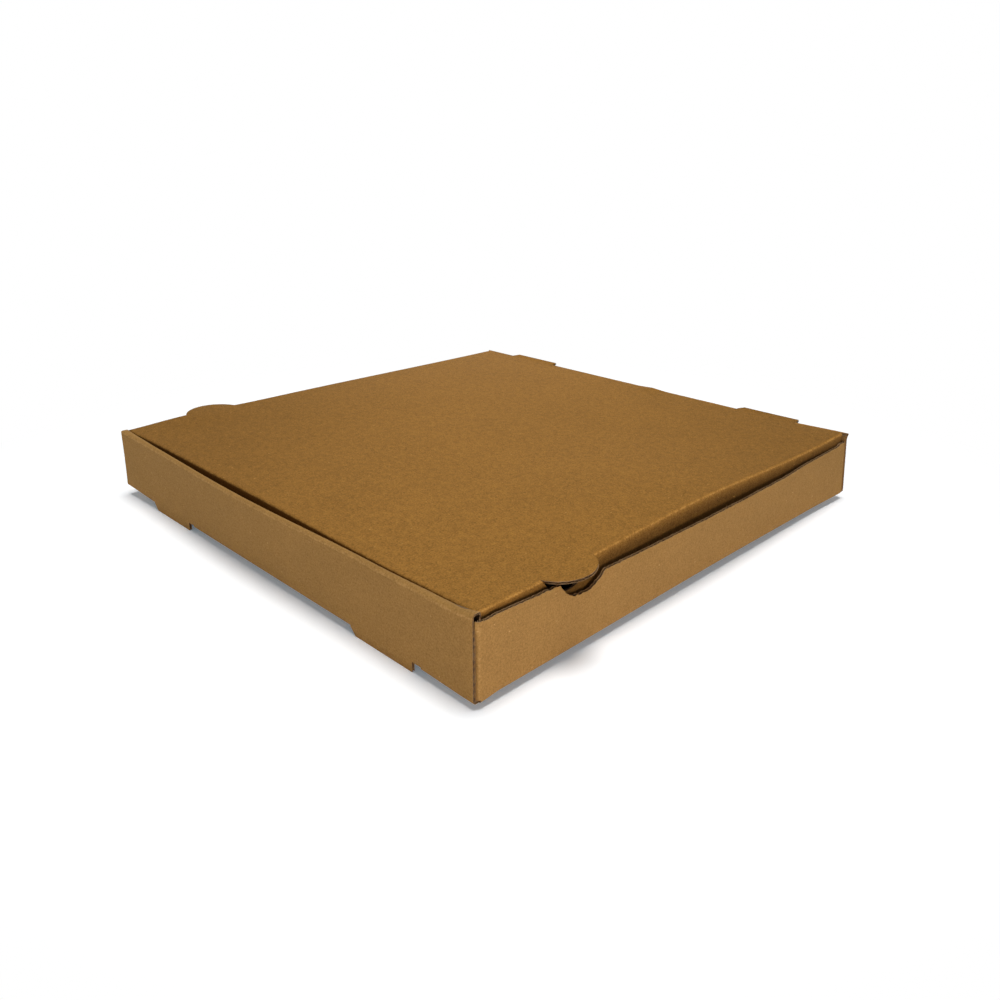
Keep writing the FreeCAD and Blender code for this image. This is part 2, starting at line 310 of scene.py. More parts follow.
class FlatCut:
    """Die-cut outline of flat board: loops of (across, along) points, holes among them."""

    sliver = 0.03 * MM

    def __init__(self, *loops: Loop) -> None:
        """Keep the edges that cross the flutes, each from its lower across."""
        edges = []
        for loop in loops:
            for start, end in zip(loop, loop[1:] + loop[:1]):
                if abs(start[0] - end[0]) > FLAT_TOLERANCE:
                    edges.append(sorted((start, end)))
        self.edges = np.array(edges)
        self.levels = self.edges[:, :, 0].ravel()

    def _spans(self, low: float, high: float) -> list[tuple[Point, Point]]:
        """Stretches of board between two levels.

        Args:
            low: lower across of the slab.
            high: upper across of the slab.

        Returns:
            For each stretch, the along of its two sides at the low level and at the high.
        """
        middle = (low + high) / 2
        starts, ends = self.edges[:, 0], self.edges[:, 1]
        crossing = (starts[:, 0] < middle) & (ends[:, 0] > middle)
        starts, ends = starts[crossing], ends[crossing]
        slope = (ends[:, 1] - starts[:, 1]) / (ends[:, 0] - starts[:, 0])
        at_low = starts[:, 1] + slope * (low - starts[:, 0])
        at_high = starts[:, 1] + slope * (high - starts[:, 0])
        order = np.argsort(at_low + at_high)
        pairs = list(zip(at_low[order], at_high[order]))
        return [((one[0], two[0]), (one[1], two[1])) for one, two in zip(pairs[::2], pairs[1::2])]

    def mesh(self, across: np.ndarray, along: np.ndarray) -> tuple[np.ndarray, list[list[int]]]:
        """Fill the outline with cells that lie between the lines.

        Args:
            across: levels that the mesh is wanted on, besides the outline's own.
            along: lines that the mesh is wanted on in the other direction.

        Returns:
            The flat points and the cells as lists of point numbers.
        """
        inside = across[(across > self.levels.min()) & (across < self.levels.max())]
        levels = np.unique(np.round(np.concatenate([inside, self.levels]), 7))
        along = np.unique(np.round(along, 7))
        stops: list[set[float]] = [set() for _ in levels]
        rows: list[list[tuple[float, float]]] = []
        slabs: list[int] = []
        for index in range(len(levels) - 1):
            for low_side, high_side in self._spans(levels[index], levels[index + 1]):
                bottom = (low_side[0], high_side[0])
                top = (low_side[1], high_side[1])
                held = along[(along > max(bottom) + self.sliver) & (along < min(top) - self.sliver)]
                row = [bottom, *((line, line) for line in held), top]
                row = [(round(one, 7), round(two, 7)) for one, two in row]
                stops[index].update(one for one, _ in row)
                stops[index + 1].update(two for _, two in row)
                rows.append(row)
                slabs.append(index)
        ordered = [sorted(stop) for stop in stops]
        numbers: list[dict[float, int]] = []
        points: list[Point] = []
        for level, stop in zip(levels, ordered):
            numbers.append({place: len(points) + count for count, place in enumerate(stop)})
            points.extend((level, place) for place in stop)
        cells: list[list[int]] = []
        for index, row in zip(slabs, rows):
            here, there = numbers[index], numbers[index + 1]
            for (near_low, far_low), (near_high, far_high) in zip(row, row[1:]):
                rising = [there[place] for place in ordered[index + 1] if far_low <= place <= far_high]
                falling = [here[place] for place in ordered[index] if near_low <= place <= near_high]
                cell = rising + falling[::-1]
                if len(cell) > 2:
                    cells.append(cell)
        return np.array(points), cells


class Fold(Protocol):
    """How a flat region of board is folded in space."""

    def place(self, across: np.ndarray, along: np.ndarray, depth: np.ndarray) -> np.ndarray:
        """Place in space of points on the folded board."""

    def wear(self, across: np.ndarray, along: np.ndarray) -> np.ndarray:
        """How much each point lies on a rubbed fold, from 0 to 1."""

    def tone(self, layer: Layer, across: np.ndarray, along: np.ndarray) -> np.ndarray:
        """Painted shade of a paper at each point: 1 where none is painted, lower where shade is painted
        into its colour.
        """


@dataclass
class Shell:
    """Closed skin of one paper over one region of board, its rim faces last."""

    places: np.ndarray
    faces: list[list[int]]
    rims: int
    flat: np.ndarray
    wear: np.ndarray
    # painted shade of the paper, 1 where none is painted
    tone: np.ndarray


def rim_edges(cells: list[list[int]]) -> list[tuple[int, int]]:
    """Edges that only one cell has, each in the direction of that cell."""
    edges = {(cell[index - 1], cell[index]) for cell in cells for index in range(len(cell))}
    return [edge for edge in edges if (edge[1], edge[0]) not in edges]


def signed_volume(places: np.ndarray, faces: list[list[int]]) -> float:
    """Volume inside a closed shell, below zero where its faces point inwards."""
    fans = np.array([(face[0], face[index], face[index + 1])
                     for face in faces for index in range(1, len(face) - 1)])
    first, second, third = (places[fans[:, corner]] for corner in range(3))
    return float((first * np.cross(second, third)).sum() / 6)


def lay(cut: FlatCut, fold: Fold, layer: Layer, across: np.ndarray, along: np.ndarray,
        settle: Settle, offset: float) -> Shell:
    """Lay one paper of a flat region on its folds.

    Args:
        cut: the region's outline.
        fold: how the region is folded.
        layer: which paper.
        across: mesh lines across the flutes.
        along: mesh lines along the flutes.
        settle: how the folded board has bowed and lifted.
        offset: shift that sets this region's grain apart from the others'.

    Returns:
        The closed skin of the paper.
    """
    points, cells = cut.mesh(across, along)
    flat_across, flat_along = points.T
    near, far = BOARD.depths(layer, flat_across)
    places = np.concatenate([settle(fold.place(flat_across, flat_along, near)),
                             settle(fold.place(flat_across, flat_along, far))])
    count = len(points)
    faces = cells + [[count + corner for corner in reversed(cell)] for cell in cells]
    rims = rim_edges(cells)
    faces += [[end, start, count + start, count + end] for start, end in sorted(rims)]
    if signed_volume(places, faces) < 0:
        faces = [face[::-1] for face in faces]
    flat = np.stack([flat_along, flat_across, np.full(count, offset)], axis=1)
    rubbed = np.tile(fold.wear(flat_across, flat_along), 2)
    # painted shade of the paper at each point, the same on both faces
    tone = np.tile(fold.tone(layer, flat_across, flat_along), 2)
    return Shell(places, faces, len(rims), np.tile(flat, (2, 1)), rubbed, tone)


def join_shells(name: str, shells: Sequence[Shell], materials: Sequence[bpy.types.Material],
                crease_angle: float = math.radians(48)) -> bpy.types.Object:
    """Make one object of several skins.

    Args:
        name: the object's name.
        shells: the skins.
        materials: material of the paper's faces and of its cut edges.
        crease_angle: angle above which an edge is drawn sharp.

    Returns:
        The new object, linked to the scene.
    """
    faces: list[list[int]] = []
    kinds: list[int] = []
    start = 0
    for shell in shells:
        faces += [[start + corner for corner in face] for face in shell.faces]
        kinds += [0] * (len(shell.faces) - shell.rims) + [1] * shell.rims
        start += len(shell.places)
    mesh = bpy.data.meshes.new(name)
    places = np.concatenate([shell.places for shell in shells])
    mesh.from_pydata(places.tolist(), [], faces)
    flat = mesh.attributes.new("flat", "FLOAT_VECTOR", "POINT")
    flat.data.foreach_set("vector", np.concatenate([shell.flat for shell in shells]).ravel())
    # tone carries painted shade, which the kraft finishes multiply into their colour
    for name_of_value in ("wear", "tone"):
        values = np.concatenate([getattr(shell, name_of_value) for shell in shells])
        mesh.attributes.new(name_of_value, "FLOAT", "POINT").data.foreach_set("value", values)
    for material in materials:
        mesh.materials.append(material)
    mesh.polygons.foreach_set("material_index", kinds)
    mesh.shade_smooth()
    mesh.set_sharp_from_angle(angle=crease_angle)
    mesh.update()
    made = bpy.data.objects.new(name, mesh)
    bpy.context.scene.collection.objects.link(made)
    return made


class Nodes:
    """Short way to add and link the nodes of one material or world."""

    def __init__(self, owner: bpy.types.Material | bpy.types.World) -> None:
        """Start the owner's tree from nothing."""
        owner.use_nodes = True
        self.tree = owner.node_tree
        self.tree.nodes.clear()

    def add(self, kind: str, **settings: object) -> bpy.types.Node:
        """Add a node and set its properties.

        Args:
            kind: the node's type without its ShaderNode prefix.
            **settings: property names and values.

        Returns:
            The node.
        """
        node = self.tree.nodes.new("ShaderNode" + kind)
        for name, value in settings.items():
            setattr(node, name, value)
        return node

    def attribute(self, name: str, output: str = "Fac") -> bpy.types.NodeSocket:
        """Value that the mesh stores under a name."""
        return self.add("Attribute", attribute_name=name).outputs[output]

    def direct(self) -> bpy.types.NodeSocket:
        """1 for what the camera sees, itself or in a glossy surface, and 0 for all other light."""
        path = self.add("LightPath")
        return self.math("MAXIMUM", path.outputs["Is Camera Ray"], path.outputs["Is Glossy Ray"])

    def surface(self, shader: bpy.types.NodeSocket, kind: str = "OutputMaterial") -> None:
        """End the tree with a shader."""
        self.wire(shader, self.add(kind).inputs["Surface"])

    def wire(self, source: bpy.types.NodeSocket | float | Sequence[float],
             target: bpy.types.NodeSocket) -> None:
        """Link a socket to the target, or set the target to a value."""
        if isinstance(source, bpy.types.NodeSocket):
            self.tree.links.new(source, target)
        else:
            target.default_value = source

    def math(self, operation: str, first: object, second: object = 0.0,
             third: object = 0.0) -> bpy.types.NodeSocket:
        """Combine numbers.

        Args:
            operation: name of the Math node's operation.
            first: first number or socket.
            second: second number or socket.
            third: third number or socket, for the operations that read one.

        Returns:
            The result's socket.
        """
        node = self.add("Math", operation=operation)
        for operand, socket in zip((first, second, third), node.inputs):
            self.wire(operand, socket)
        return node.outputs[0]

    def scaled(self, vector: bpy.types.NodeSocket, scale: Sequence[float]) -> bpy.types.NodeSocket:
        """Coordinates multiplied by a scale for each axis."""
        node = self.add("VectorMath", operation="MULTIPLY")
        self.wire(vector, node.inputs[0])
        self.wire(scale, node.inputs[1])
        return node.outputs[0]

    def noise(self, vector: bpy.types.NodeSocket, detail: float = 2.0,
              roughness: float = 0.5) -> bpy.types.NodeSocket:
        """Noise of unit scale around 0.5."""
        node = self.add("TexNoise")
        self.wire(vector, node.inputs["Vector"])
        self.wire(1.0, node.inputs["Scale"])
        self.wire(detail, node.inputs["Detail"])
        self.wire(roughness, node.inputs["Roughness"])
        return node.outputs["Fac"]

    def span(self, value: bpy.types.NodeSocket, low: float, high: float,
             to_low: float = 0.0, to_high: float = 1.0) -> bpy.types.NodeSocket:
        """Value mapped from one range to another and held there.

        Args:
            value: the value's socket.
            low: start of the range that is read.
            high: end of the range that is read.
            to_low: result at the low end.
            to_high: result at the high end.

        Returns:
            The result's socket.
        """
        node = self.add("MapRange", interpolation_type="SMOOTHSTEP")
        self.wire(value, node.inputs["Value"])
        for name, number in (("From Min", low), ("From Max", high),
                             ("To Min", to_low), ("To Max", to_high)):
            self.wire(number, node.inputs[name])
        return node.outputs["Result"]

    def bump(self, height: bpy.types.NodeSocket, distance: float) -> bpy.types.NodeSocket:
        """Normal bent by a height that is worth a distance, at a strength that suits paper."""
        node = self.add("Bump")
        node.inputs["Strength"].default_value = 0.6
        node.inputs["Distance"].default_value = distance
        self.wire(height, node.inputs["Height"])
        return node.outputs["Normal"]

    def mix(self, share: object, first: object, second: object,
            blend: str = "MIX") -> bpy.types.NodeSocket:
        """Mix two colours.

        Args:
            share: share of the second colour.
            first: first colour or socket.
            second: second colour or socket.
            blend: the Mix node's blend type.

        Returns:
            The mixed colour's socket.
        """
        node = self.add("Mix", data_type="RGBA", blend_type=blend)
        self.wire(share, node.inputs["Factor"])
        self.wire(first, node.inputs["A"])
        self.wire(second, node.inputs["B"])
        return node.outputs["Result"]


def rgba(colour: Sequence[float]) -> tuple[float, float, float, float]:
    """Colour with full opacity."""
    return (colour[0], colour[1], colour[2], 1.0)


@dataclass(frozen=True)
class KraftFinish:
    """Unbleached kraft paper: speckled with fibres, cloudy, rubbed lighter on its folds, darkened by
    painted shade from the mesh's tone attribute.
    """

    name: str
    colour: tuple[float, float, float]
    rubbed: tuple[float, float, float]
    grain: float = 0.9
    speckle: float = 0.62
    blotches: float = 0.26
    clouds: float = 0.16
    fibres: float = 0.30
    flecks: float = 0.75
    flutes_show: float = 0.35
    roughness: float = 0.84
    relief: float = 0.06 * MM
    grain_size: float = 0.42 * MM
    speckle_size: float = 1.0 * MM
    blotch_size: float = 3.2 * MM
    cloud_size: float = 34 * MM
    fibre_length: float = 3.2 * MM
    fibre_width: float = 0.34 * MM
    fibre_from: float = 0.62
    fibre_by: float = 0.80
    fleck_size: float = 3.4 * MM

    def build(self) -> bpy.types.Material:
        """Make the material."""
        material = bpy.data.materials.new(self.name)
        nodes = Nodes(material)
        flat = nodes.attribute("flat", "Vector")
        noises, shade = self._clouded(nodes, flat)
        lying = nodes.noise(nodes.scaled(flat, (1 / self.fibre_width, 1 / self.fibre_length, 900)), 1.0)
        # painted shade from the mesh's tone attribute darkens the colour
        shade = nodes.math("MULTIPLY", shade, nodes.attribute("tone"))
        colour = nodes.mix(1.0, rgba(self.colour), shade, "MULTIPLY")
        colour = self._fibred(nodes, flat, lying, colour)
        colour = self._flecked(nodes, flat, colour)
        broken = nodes.span(nodes.math("ADD", noises[1], noises[2]), 0.85, 1.2)
        worn = nodes.math("MULTIPLY", nodes.attribute("wear"),
                          nodes.math("MULTIPLY_ADD", broken, 0.75, 0.25))
        colour = nodes.mix(nodes.math("MULTIPLY", worn, 0.6), colour, rgba(self.rubbed))
        shader = nodes.add("BsdfPrincipled")
        nodes.wire(colour, shader.inputs["Base Color"])
        nodes.wire(nodes.span(noises[1], 0.2, 0.8, self.roughness + 0.08, self.roughness - 0.08),
                   shader.inputs["Roughness"])
        shader.inputs["Specular IOR Level"].default_value = 0.1
        nodes.wire(self._relief(nodes, flat, noises[1], lying), shader.inputs["Normal"])
        nodes.surface(shader.outputs["BSDF"])
        return material

    def _clouded(self, nodes: Nodes, flat: bpy.types.NodeSocket
                 ) -> tuple[list[bpy.types.NodeSocket], bpy.types.NodeSocket]:
        """Noises from fine grain to wide clouds, and the shade that they add up to.

        Args:
            nodes: the material's nodes.
            flat: coordinates in the flat sheet.

        Returns:
            The noises' sockets, finest first, and the shade's, around 1.
        """
        layers = [(self.grain_size, self.grain, 1.0), (self.speckle_size, self.speckle, 2.0),
                  (self.blotch_size, self.blotches, 2.0), (self.cloud_size, self.clouds, 3.0)]
        noises = [nodes.noise(nodes.scaled(flat, [1 / size] * 3), detail) for size, _, detail in layers]
        shade: object = 1.0
        for noise, (_, amount, _) in zip(noises, layers):
            offset = nodes.math("MULTIPLY", nodes.math("SUBTRACT", noise, 0.5), amount)
            shade = nodes.math("ADD", offset, shade)
        return noises, shade

    def _fibred(self, nodes: Nodes, flat: bpy.types.NodeSocket, lying: bpy.types.NodeSocket,
                colour: bpy.types.NodeSocket) -> bpy.types.NodeSocket:
        """Colour with light fibres that lie one way and dark ones that cross them.

        Args:
            nodes: the material's nodes.
            flat: coordinates in the flat sheet.
            lying: noise of the light fibres.
            colour: colour before the fibres.

        Returns:
            The colour's socket.
        """
        crossing = nodes.noise(nodes.scaled(flat, (1 / self.fibre_length, 1 / self.fibre_width, 700)), 1.0)
        light = nodes.math("MULTIPLY", nodes.span(lying, self.fibre_from, self.fibre_by), self.fibres)
        colour = nodes.mix(light, colour, rgba(self.rubbed))
        dark = nodes.math("MULTIPLY", nodes.span(crossing, self.fibre_from, self.fibre_by), self.fibres)
        return nodes.mix(dark, colour, rgba([part * 0.5 for part in self.colour]))

    def _flecked(self, nodes: Nodes, flat: bpy.types.NodeSocket,
                 colour: bpy.types.NodeSocket) -> bpy.types.NodeSocket:
        """Colour with scattered light flecks of wood.

        Args:
            nodes: the material's nodes.
            flat: coordinates in the flat sheet.
            colour: colour before the flecks.

        Returns:
            The flecked colour's socket.
        """
        cells = nodes.add("TexVoronoi", feature="F1")
        nodes.wire(nodes.scaled(flat, (1 / self.fleck_size, 0.6 / self.fleck_size, 50)),
                   cells.inputs["Vector"])
        nodes.wire(1.0, cells.inputs["Scale"])
        dot = nodes.span(cells.outputs["Distance"], 0.05, 0.13, 1.0, 0.0)
        parts = nodes.add("SeparateColor")
        nodes.wire(cells.outputs["Color"], parts.inputs[0])
        chosen = nodes.span(parts.outputs[0], 0.62, 0.92)
        share = nodes.math("MULTIPLY", nodes.math("MULTIPLY", dot, chosen), self.flecks)
        return nodes.mix(share, colour, rgba(self.rubbed))

    def _relief(self, nodes: Nodes, flat: bpy.types.NodeSocket, speck: bpy.types.NodeSocket,
                lying: bpy.types.NodeSocket) -> bpy.types.NodeSocket:
        """Fine relief: fibres, and the flutes that show faintly through the liner.

        Args:
            nodes: the material's nodes.
            flat: coordinates in the flat sheet.
            speck: speckle noise.
            lying: noise of the fibres.

        Returns:
            The bumped normal's socket.
        """
        parts = nodes.add("SeparateXYZ")
        nodes.wire(flat, parts.inputs[0])
        phase = nodes.math("MULTIPLY", parts.outputs["Y"], 2 * math.pi / BOARD.pitch)
        ridge = nodes.math("MULTIPLY", nodes.math("COSINE", phase), self.flutes_show * 0.5)
        grain = nodes.math("ADD", nodes.math("ADD", speck, nodes.math("MULTIPLY", lying, 0.5)), ridge)
        return nodes.bump(grain, self.relief)


@dataclass(frozen=True)
class CutEdgeFinish:
    """Torn fibres on a cut edge or on the fluted medium."""

    name: str
    colour: tuple[float, float, float]
    dark: tuple[float, float, float]
    fibre_size: float = 0.35 * MM
    relief: float = 0.06 * MM
    roughness: float = 0.92

    def build(self) -> bpy.types.Material:
        """Make the material."""
        material = bpy.data.materials.new(self.name)
        nodes = Nodes(material)
        flat = nodes.attribute("flat", "Vector")
        fuzz = nodes.noise(nodes.scaled(flat, [1 / self.fibre_size] * 3), 3.0, 0.65)
        patch = nodes.noise(nodes.scaled(flat, [0.06 / self.fibre_size] * 3), 2.0)
        tone = nodes.math("MULTIPLY", nodes.math("ADD", fuzz, patch), 0.5)
        colour = nodes.mix(nodes.span(tone, 0.32, 0.68), rgba(self.dark), rgba(self.colour))
        shader = nodes.add("BsdfPrincipled")
        nodes.wire(colour, shader.inputs["Base Color"])
        shader.inputs["Roughness"].default_value = self.roughness
        shader.inputs["Specular IOR Level"].default_value = 0.15
        nodes.wire(nodes.bump(fuzz, self.relief), shader.inputs["Normal"])
        nodes.surface(shader.outputs["BSDF"])
        return material


@dataclass(frozen=True)
class Papers:
    """Materials of one part's papers."""

    outside: bpy.types.Material
    inside: bpy.types.Material
    medium: bpy.types.Material
    cut: bpy.types.Material

    def of(self, layer: Layer) -> tuple[bpy.types.Material, bpy.types.Material]:
        """Material of a paper's faces and of its cut edges."""
        faces = {Layer.OUTER: self.outside, Layer.FLUTES: self.medium, Layer.INNER: self.inside}
        return faces[layer], self.medium if layer is Layer.FLUTES else self.cut


@dataclass(frozen=True)
class BoxPlan:
    """Sizes of the folded box, most of them read from the frame."""

    half: float
    height: float
    foot_drop: float
    lid_front: float
    lid_low: float
    thumb_out: float
    tab_out: float
    fold: float = 1.2 * MM
    roll_depth: float = 4.8 * MM
    play: float = 0.15 * MM
    kerf: float = 0.12 * MM
    thumb_setback: float = 60.3 * MM
    thumb_reach: float = 11 * MM
    thumb_radius: float = 18.8 * MM
    notch_setback: float = 66.7 * MM
    vent_length: float = 44 * MM
    vent_spacing: float = 218 * MM
    vent_shift: float = -3 * MM
    vent_play: float = 0.5 * MM
    crease_reach: float = 3.5 * MM

    @classmethod
    def from_frame(cls) -> "BoxPlan":
        """Read the outer sizes from the CAD nodes."""
        low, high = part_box("tray")
        lid_low, lid_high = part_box("lid")
        return cls(half=high.x, height=high.z, foot_drop=-low.z, lid_front=lid_low.y,
                   lid_low=lid_low.z, thumb_out=lid_high.x, tab_out=lid_high.y)

    @property
    def lid_half(self) -> float:
        """Half of the lid's width over its side flaps."""
        return self.thumb_out - self.thumb_reach

    @property
    def seam(self) -> float:
        """How far a side wall or side flap reaches round its fold, to meet the panel."""
        return self.fold + 0.05 * MM

    @property
    def thumb_y(self) -> float:
        """Where the middles of the thumb tabs are."""
        return self.thumb_setback - self.half

    @property
    def notch_y(self) -> float:
        """Where the middles of the finger notches are."""
        return self.notch_setback - self.half

    @property
    def within(self) -> float:
        """How far from the middle the board that stands between two walls reaches."""
        return self.half - BOARD.thickness - self.play

    def vents(self) -> tuple[tuple[float, float], ...]:
        """Left and right end of each rear tab."""
        return stretches(self.vent_shift, self.vent_spacing, self.vent_length)


@dataclass(frozen=True)
class LidSet:
    """How the closed lid has crowned, bowed and spread.

    The first fields say how far. The arches say where along a side, and the rises say how it fades
    in towards a side, an end or the top. A rise towards the left or front reads minus x or minus y.
    """

    plan: BoxPlan
    right_crown: float = 2.2 * MM
    left_crown: float = 1.1 * MM
    thumb_crown: float = 1.3 * MM
    front_bow: float = 1.2 * MM
    front_push: float = 1.3 * MM
    left_push: float = 0.9 * MM
    left_spread: float = 2.2 * MM
    right_pull: float = 0.9 * MM
    rear_spread: float = 0.6 * MM
    corner_lift: float = 1.1 * MM
    thumb_lift: float = 0.1 * MM
    rear_bump: float = 0.8 * MM
    rear_tab_lift: float = 0.6 * MM
    right_arch: Arch = Arch(0.0, 0.135, 0.108)
    left_arch: Arch = Arch(-0.05, 0.12, 0.2)
    thumb_arch: Arch = Arch(-0.122, 0.042, 0.06)
    pull_arch: Arch = Arch(0.0, 0.12, 0.12)
    push_arch: Arch = Arch(0.095, 0.11, 0.075)
    to_crown: Rise = Rise(0.03, 0.13)
    to_side: Rise = Rise(0.08, 0.08)
    to_corner: Rise = Rise(0.12, 0.045)
    to_corner_rear: Rise = Rise(0.125, 0.04)
    to_thumb: Rise = Rise(0.13, 0.03)
    to_left_end: Rise = Rise(0.12, 0.04)
    to_front: Rise = Rise(0.11, 0.045)
    to_bump_level: Rise = Rise(0.034, 0.005)
    to_panel: Rise = Rise(0.0364, 0.0022)
    bump_x: float = 12 * MM
    bump_width: float = 7 * MM
    bump_reach: float = 12 * MM
    flap_share: float = 0.62
    spread_start: float = -20 * MM

    def _lift(self, x: np.ndarray, y: np.ndarray, z: np.ndarray) -> np.ndarray:
        """Height that each point has gained."""
        plan = self.plan
        lift = self.right_crown * self.right_arch.at(y) * self.to_crown.at(x)
        lift += self.corner_lift * self.to_corner.at(x) * self.to_corner_rear.at(y)
        lift += self.left_crown * self.left_arch.at(y) * self.to_crown.at(-x)
        lift += self.thumb_crown * self.thumb_arch.at(y) * self.to_thumb.at(-x)
        beyond = np.clip((np.abs(x) - plan.lid_half) / plan.thumb_reach, 0, 1)
        lift += self.thumb_lift * beyond ** 1.3
        bump = self.rear_bump * np.exp(-((x - self.bump_x) / self.bump_width) ** 2)
        near_crease = ease((y - plan.half + self.bump_reach) / self.bump_reach)
        lift += bump * near_crease * self.to_bump_level.at(z)
        past = np.clip((y - plan.half) / (plan.tab_out - plan.half), 0, 1)
        return lift + self.rear_tab_lift * past

    def _shift(self, x: np.ndarray, y: np.ndarray, z: np.ndarray) -> np.ndarray:
        """Sideways shift of each point, held within the crease's width towards the rear."""
        half = self.plan.half
        flare = self.flap_share + (1 - self.flap_share) * self.to_panel.at(z)
        back = np.clip((y - self.spread_start) / (half - self.spread_start), 0, 1.05)
        right = self.to_side.at(x)
        shift = self.rear_spread * back ** 4 * right
        shift -= self.right_pull * self.pull_arch.at(y) * right
        shift -= self.left_spread * self.to_side.at(-x)
        out = x + shift * flare
        held = (np.abs(x) <= half) & (y > 0)
        return np.where(held, np.clip(out, -half, half), out) - x

    def __call__(self, places: np.ndarray) -> np.ndarray:
        """Move points of the lid from their flat folds to where they have settled."""
        x, y, z = places.T
        moved = places.copy()
        moved[:, 2] += self._lift(x, y, z)
        moved[:, 0] += self._shift(x, y, z)
        level = np.clip(z / self.plan.height, 0, 1) ** 3
        bow = self.front_bow + self.front_push * self.push_arch.at(x)
        bow += self.left_push * self.to_left_end.at(-x)
        moved[:, 1] -= bow * level * self.to_front.at(-y)
        return moved


@dataclass(frozen=True)
class TraySet:
    """How the tray's walls have bowed, and how its base has lifted off its feet.

    The fields are in the same order as in LidSet: how far, then arches, then rises.
    """

    plan: BoxPlan
    front_lean: float = 1.2 * MM
    left_lean: float = 0.1 * MM
    front_bulge: float = 2.8 * MM
    roll_pinch: float = 1.3 * MM
    crush: float = 0.5
    curl: float = 1.1 * MM
    corner_droop: float = 0.9 * MM
    left_rise: float = 2.3 * MM
    left_kick: float = 1.3 * MM
    side_bow: float = 2.8 * MM
    foot_rise: float = 0.8 * MM
    rear_splay: float = 1.0 * MM
    rear_pull: float = 1.0 * MM
    bulge_arch: Arch = Arch(-0.018, 0.13, 0.12)
    base_arch: Arch = Arch(0.01, 0.15, 0.13)
    bow_arch: Arch = Arch(0.01, 0.165, 0.15)
    to_left_lean: Rise = Rise(0.11, 0.05)
    to_front_wall: Rise = Rise(0.154, 0.004)
    to_pinch_end: Rise = Rise(0.1, 0.045)
    to_pinch_level: Rise = Rise(0.032, 0.0065)
    to_open_end: Rise = Rise(0.152, 0.010)
    to_crush_level: Rise = Rise(0.030, 0.004)
    to_curl_end: Rise = Rise(0.150, 0.012)
    to_curl_level: Rise = Rise(0.032, 0.005)
    to_droop_side: Rise = Rise(0.126, 0.036)
    to_droop_front: Rise = Rise(0.150, 0.012)
    to_corner: Rise = Rise(0.12, 0.045)
    to_corner_front: Rise = Rise(0.11, 0.05)
    to_side: Rise = Rise(0.08, 0.08)
    to_side_wall: Rise = Rise(0.1625, 0.001)
    lean_reach: float = 10 * MM
    pinch_reach: float = 50 * MM
    pinch_start: float = 0.5 * MM
    pinch_ramp: float = 4 * MM
    curl_ramp: float = 2.2 * MM
    raw_edge: float = 1.6 * MM
    wall_end: float = 1.7 * MM
    front_part: float = -150 * MM
    roll_margin: float = 0.05 * MM

    def _left_corner(self, x: np.ndarray, y: np.ndarray) -> np.ndarray:
        """How near each point is to the base's front left corner, from 0 to 1."""
        return self.to_corner.at(-x) * self.to_corner_front.at(-y)

    def _in_roll(self, y: np.ndarray) -> np.ndarray:
        """Which points lie in the roll-over front wall."""
        return y < self.plan.roll_depth + self.roll_margin - self.plan.half

    def _front(self, x: np.ndarray, y: np.ndarray, z: np.ndarray) -> np.ndarray:
        """How far the front wall leans and bulges forwards, and its inner panel is pinched to it."""
        half = self.plan.half
        level = np.clip(z / self.plan.height, 0, 1) ** 1.5
        lean = self.front_lean * ease((half - x) / self.lean_reach)
        lean += self.left_lean * self.to_left_lean.at(-x)
        bulge = lean + self.front_bulge * self.bulge_arch.at(x)
        middle = ease((x + half) / self.pinch_reach) * (1 - self.to_pinch_end.at(x))
        upper = self.to_pinch_level.at(z) * ease((y + half - self.pinch_start) / self.pinch_ramp)
        pinch = self.roll_pinch * middle * upper * (y < self.front_part)
        return bulge * level * self.to_front_wall.at(-y) + pinch

    def _crushed(self, x: np.ndarray, y: np.ndarray, z: np.ndarray) -> tuple[np.ndarray, np.ndarray]:
        """Shift along Y and Z that thins the board at the open ends of the roll-over wall."""
        plan = self.plan
        reach = plan.roll_depth / 2
        ends = self.to_open_end.at(np.abs(x)) * self.to_crush_level.at(z) * self._in_roll(y)
        offset = y + plan.half - reach
        side = np.minimum(np.abs(offset) / (reach - BOARD.thickness), 1)
        outward = np.sign(offset) * (reach - np.abs(offset)) * self.crush * side
        under = plan.height - z
        beyond = ease((under - BOARD.thickness) / (3 * MM))
        upward = np.minimum(under, BOARD.thickness) * self.crush * (1 - beyond)
        return outward * ends, upward * ends

    def _curled(self, x: np.ndarray, y: np.ndarray, z: np.ndarray) -> np.ndarray:
        """Rise of the roll-over wall's band at its right end, short of the raw edge."""
        curl = self.curl * self.to_curl_end.at(x) * ease((y + self.plan.half) / self.curl_ramp)
        curl = curl * self.to_curl_level.at(z) * self._in_roll(y)
        return curl * (x < self.plan.half - self.raw_edge)

    def _lifted(self, x: np.ndarray, y: np.ndarray) -> np.ndarray:
        """Height that each point of the base has gained."""
        near = self.to_droop_side.at(x) * self.to_droop_front.at(-y)
        middle = self.base_arch.at(y) * self.to_side.at(x)
        return self.left_rise * self._left_corner(x, y) + self.foot_rise * middle - self.corner_droop * near

    def __call__(self, places: np.ndarray) -> np.ndarray:
        """Move points of the tray from their flat folds to where they have settled."""
        plan = self.plan
        x, y, z = places.T
        moved = places.copy()
        level = np.clip(z / plan.height, 0, 1)
        outward, upward = self._crushed(x, y, z)
        kick = self.left_kick * self._left_corner(x, y)
        moved[:, 1] += outward - self._front(x, y, z) - kick * (1 - level)
        moved[:, 2] += upward + self._curled(x, y, z) + self._lifted(x, y) * (1 - level)
        side = self.to_side_wall.at(np.abs(x)) * (np.abs(y) < plan.half - self.wall_end)
        bow = self.side_bow * side * level ** 1.5 * self.bow_arch.at(y)
        rear = self.to_corner.at(x) * self.to_corner.at(y)
        splay = self.rear_splay - (self.rear_splay + self.rear_pull) * level
        moved[:, 0] += np.sign(x) * bow + rear * splay
        return moved


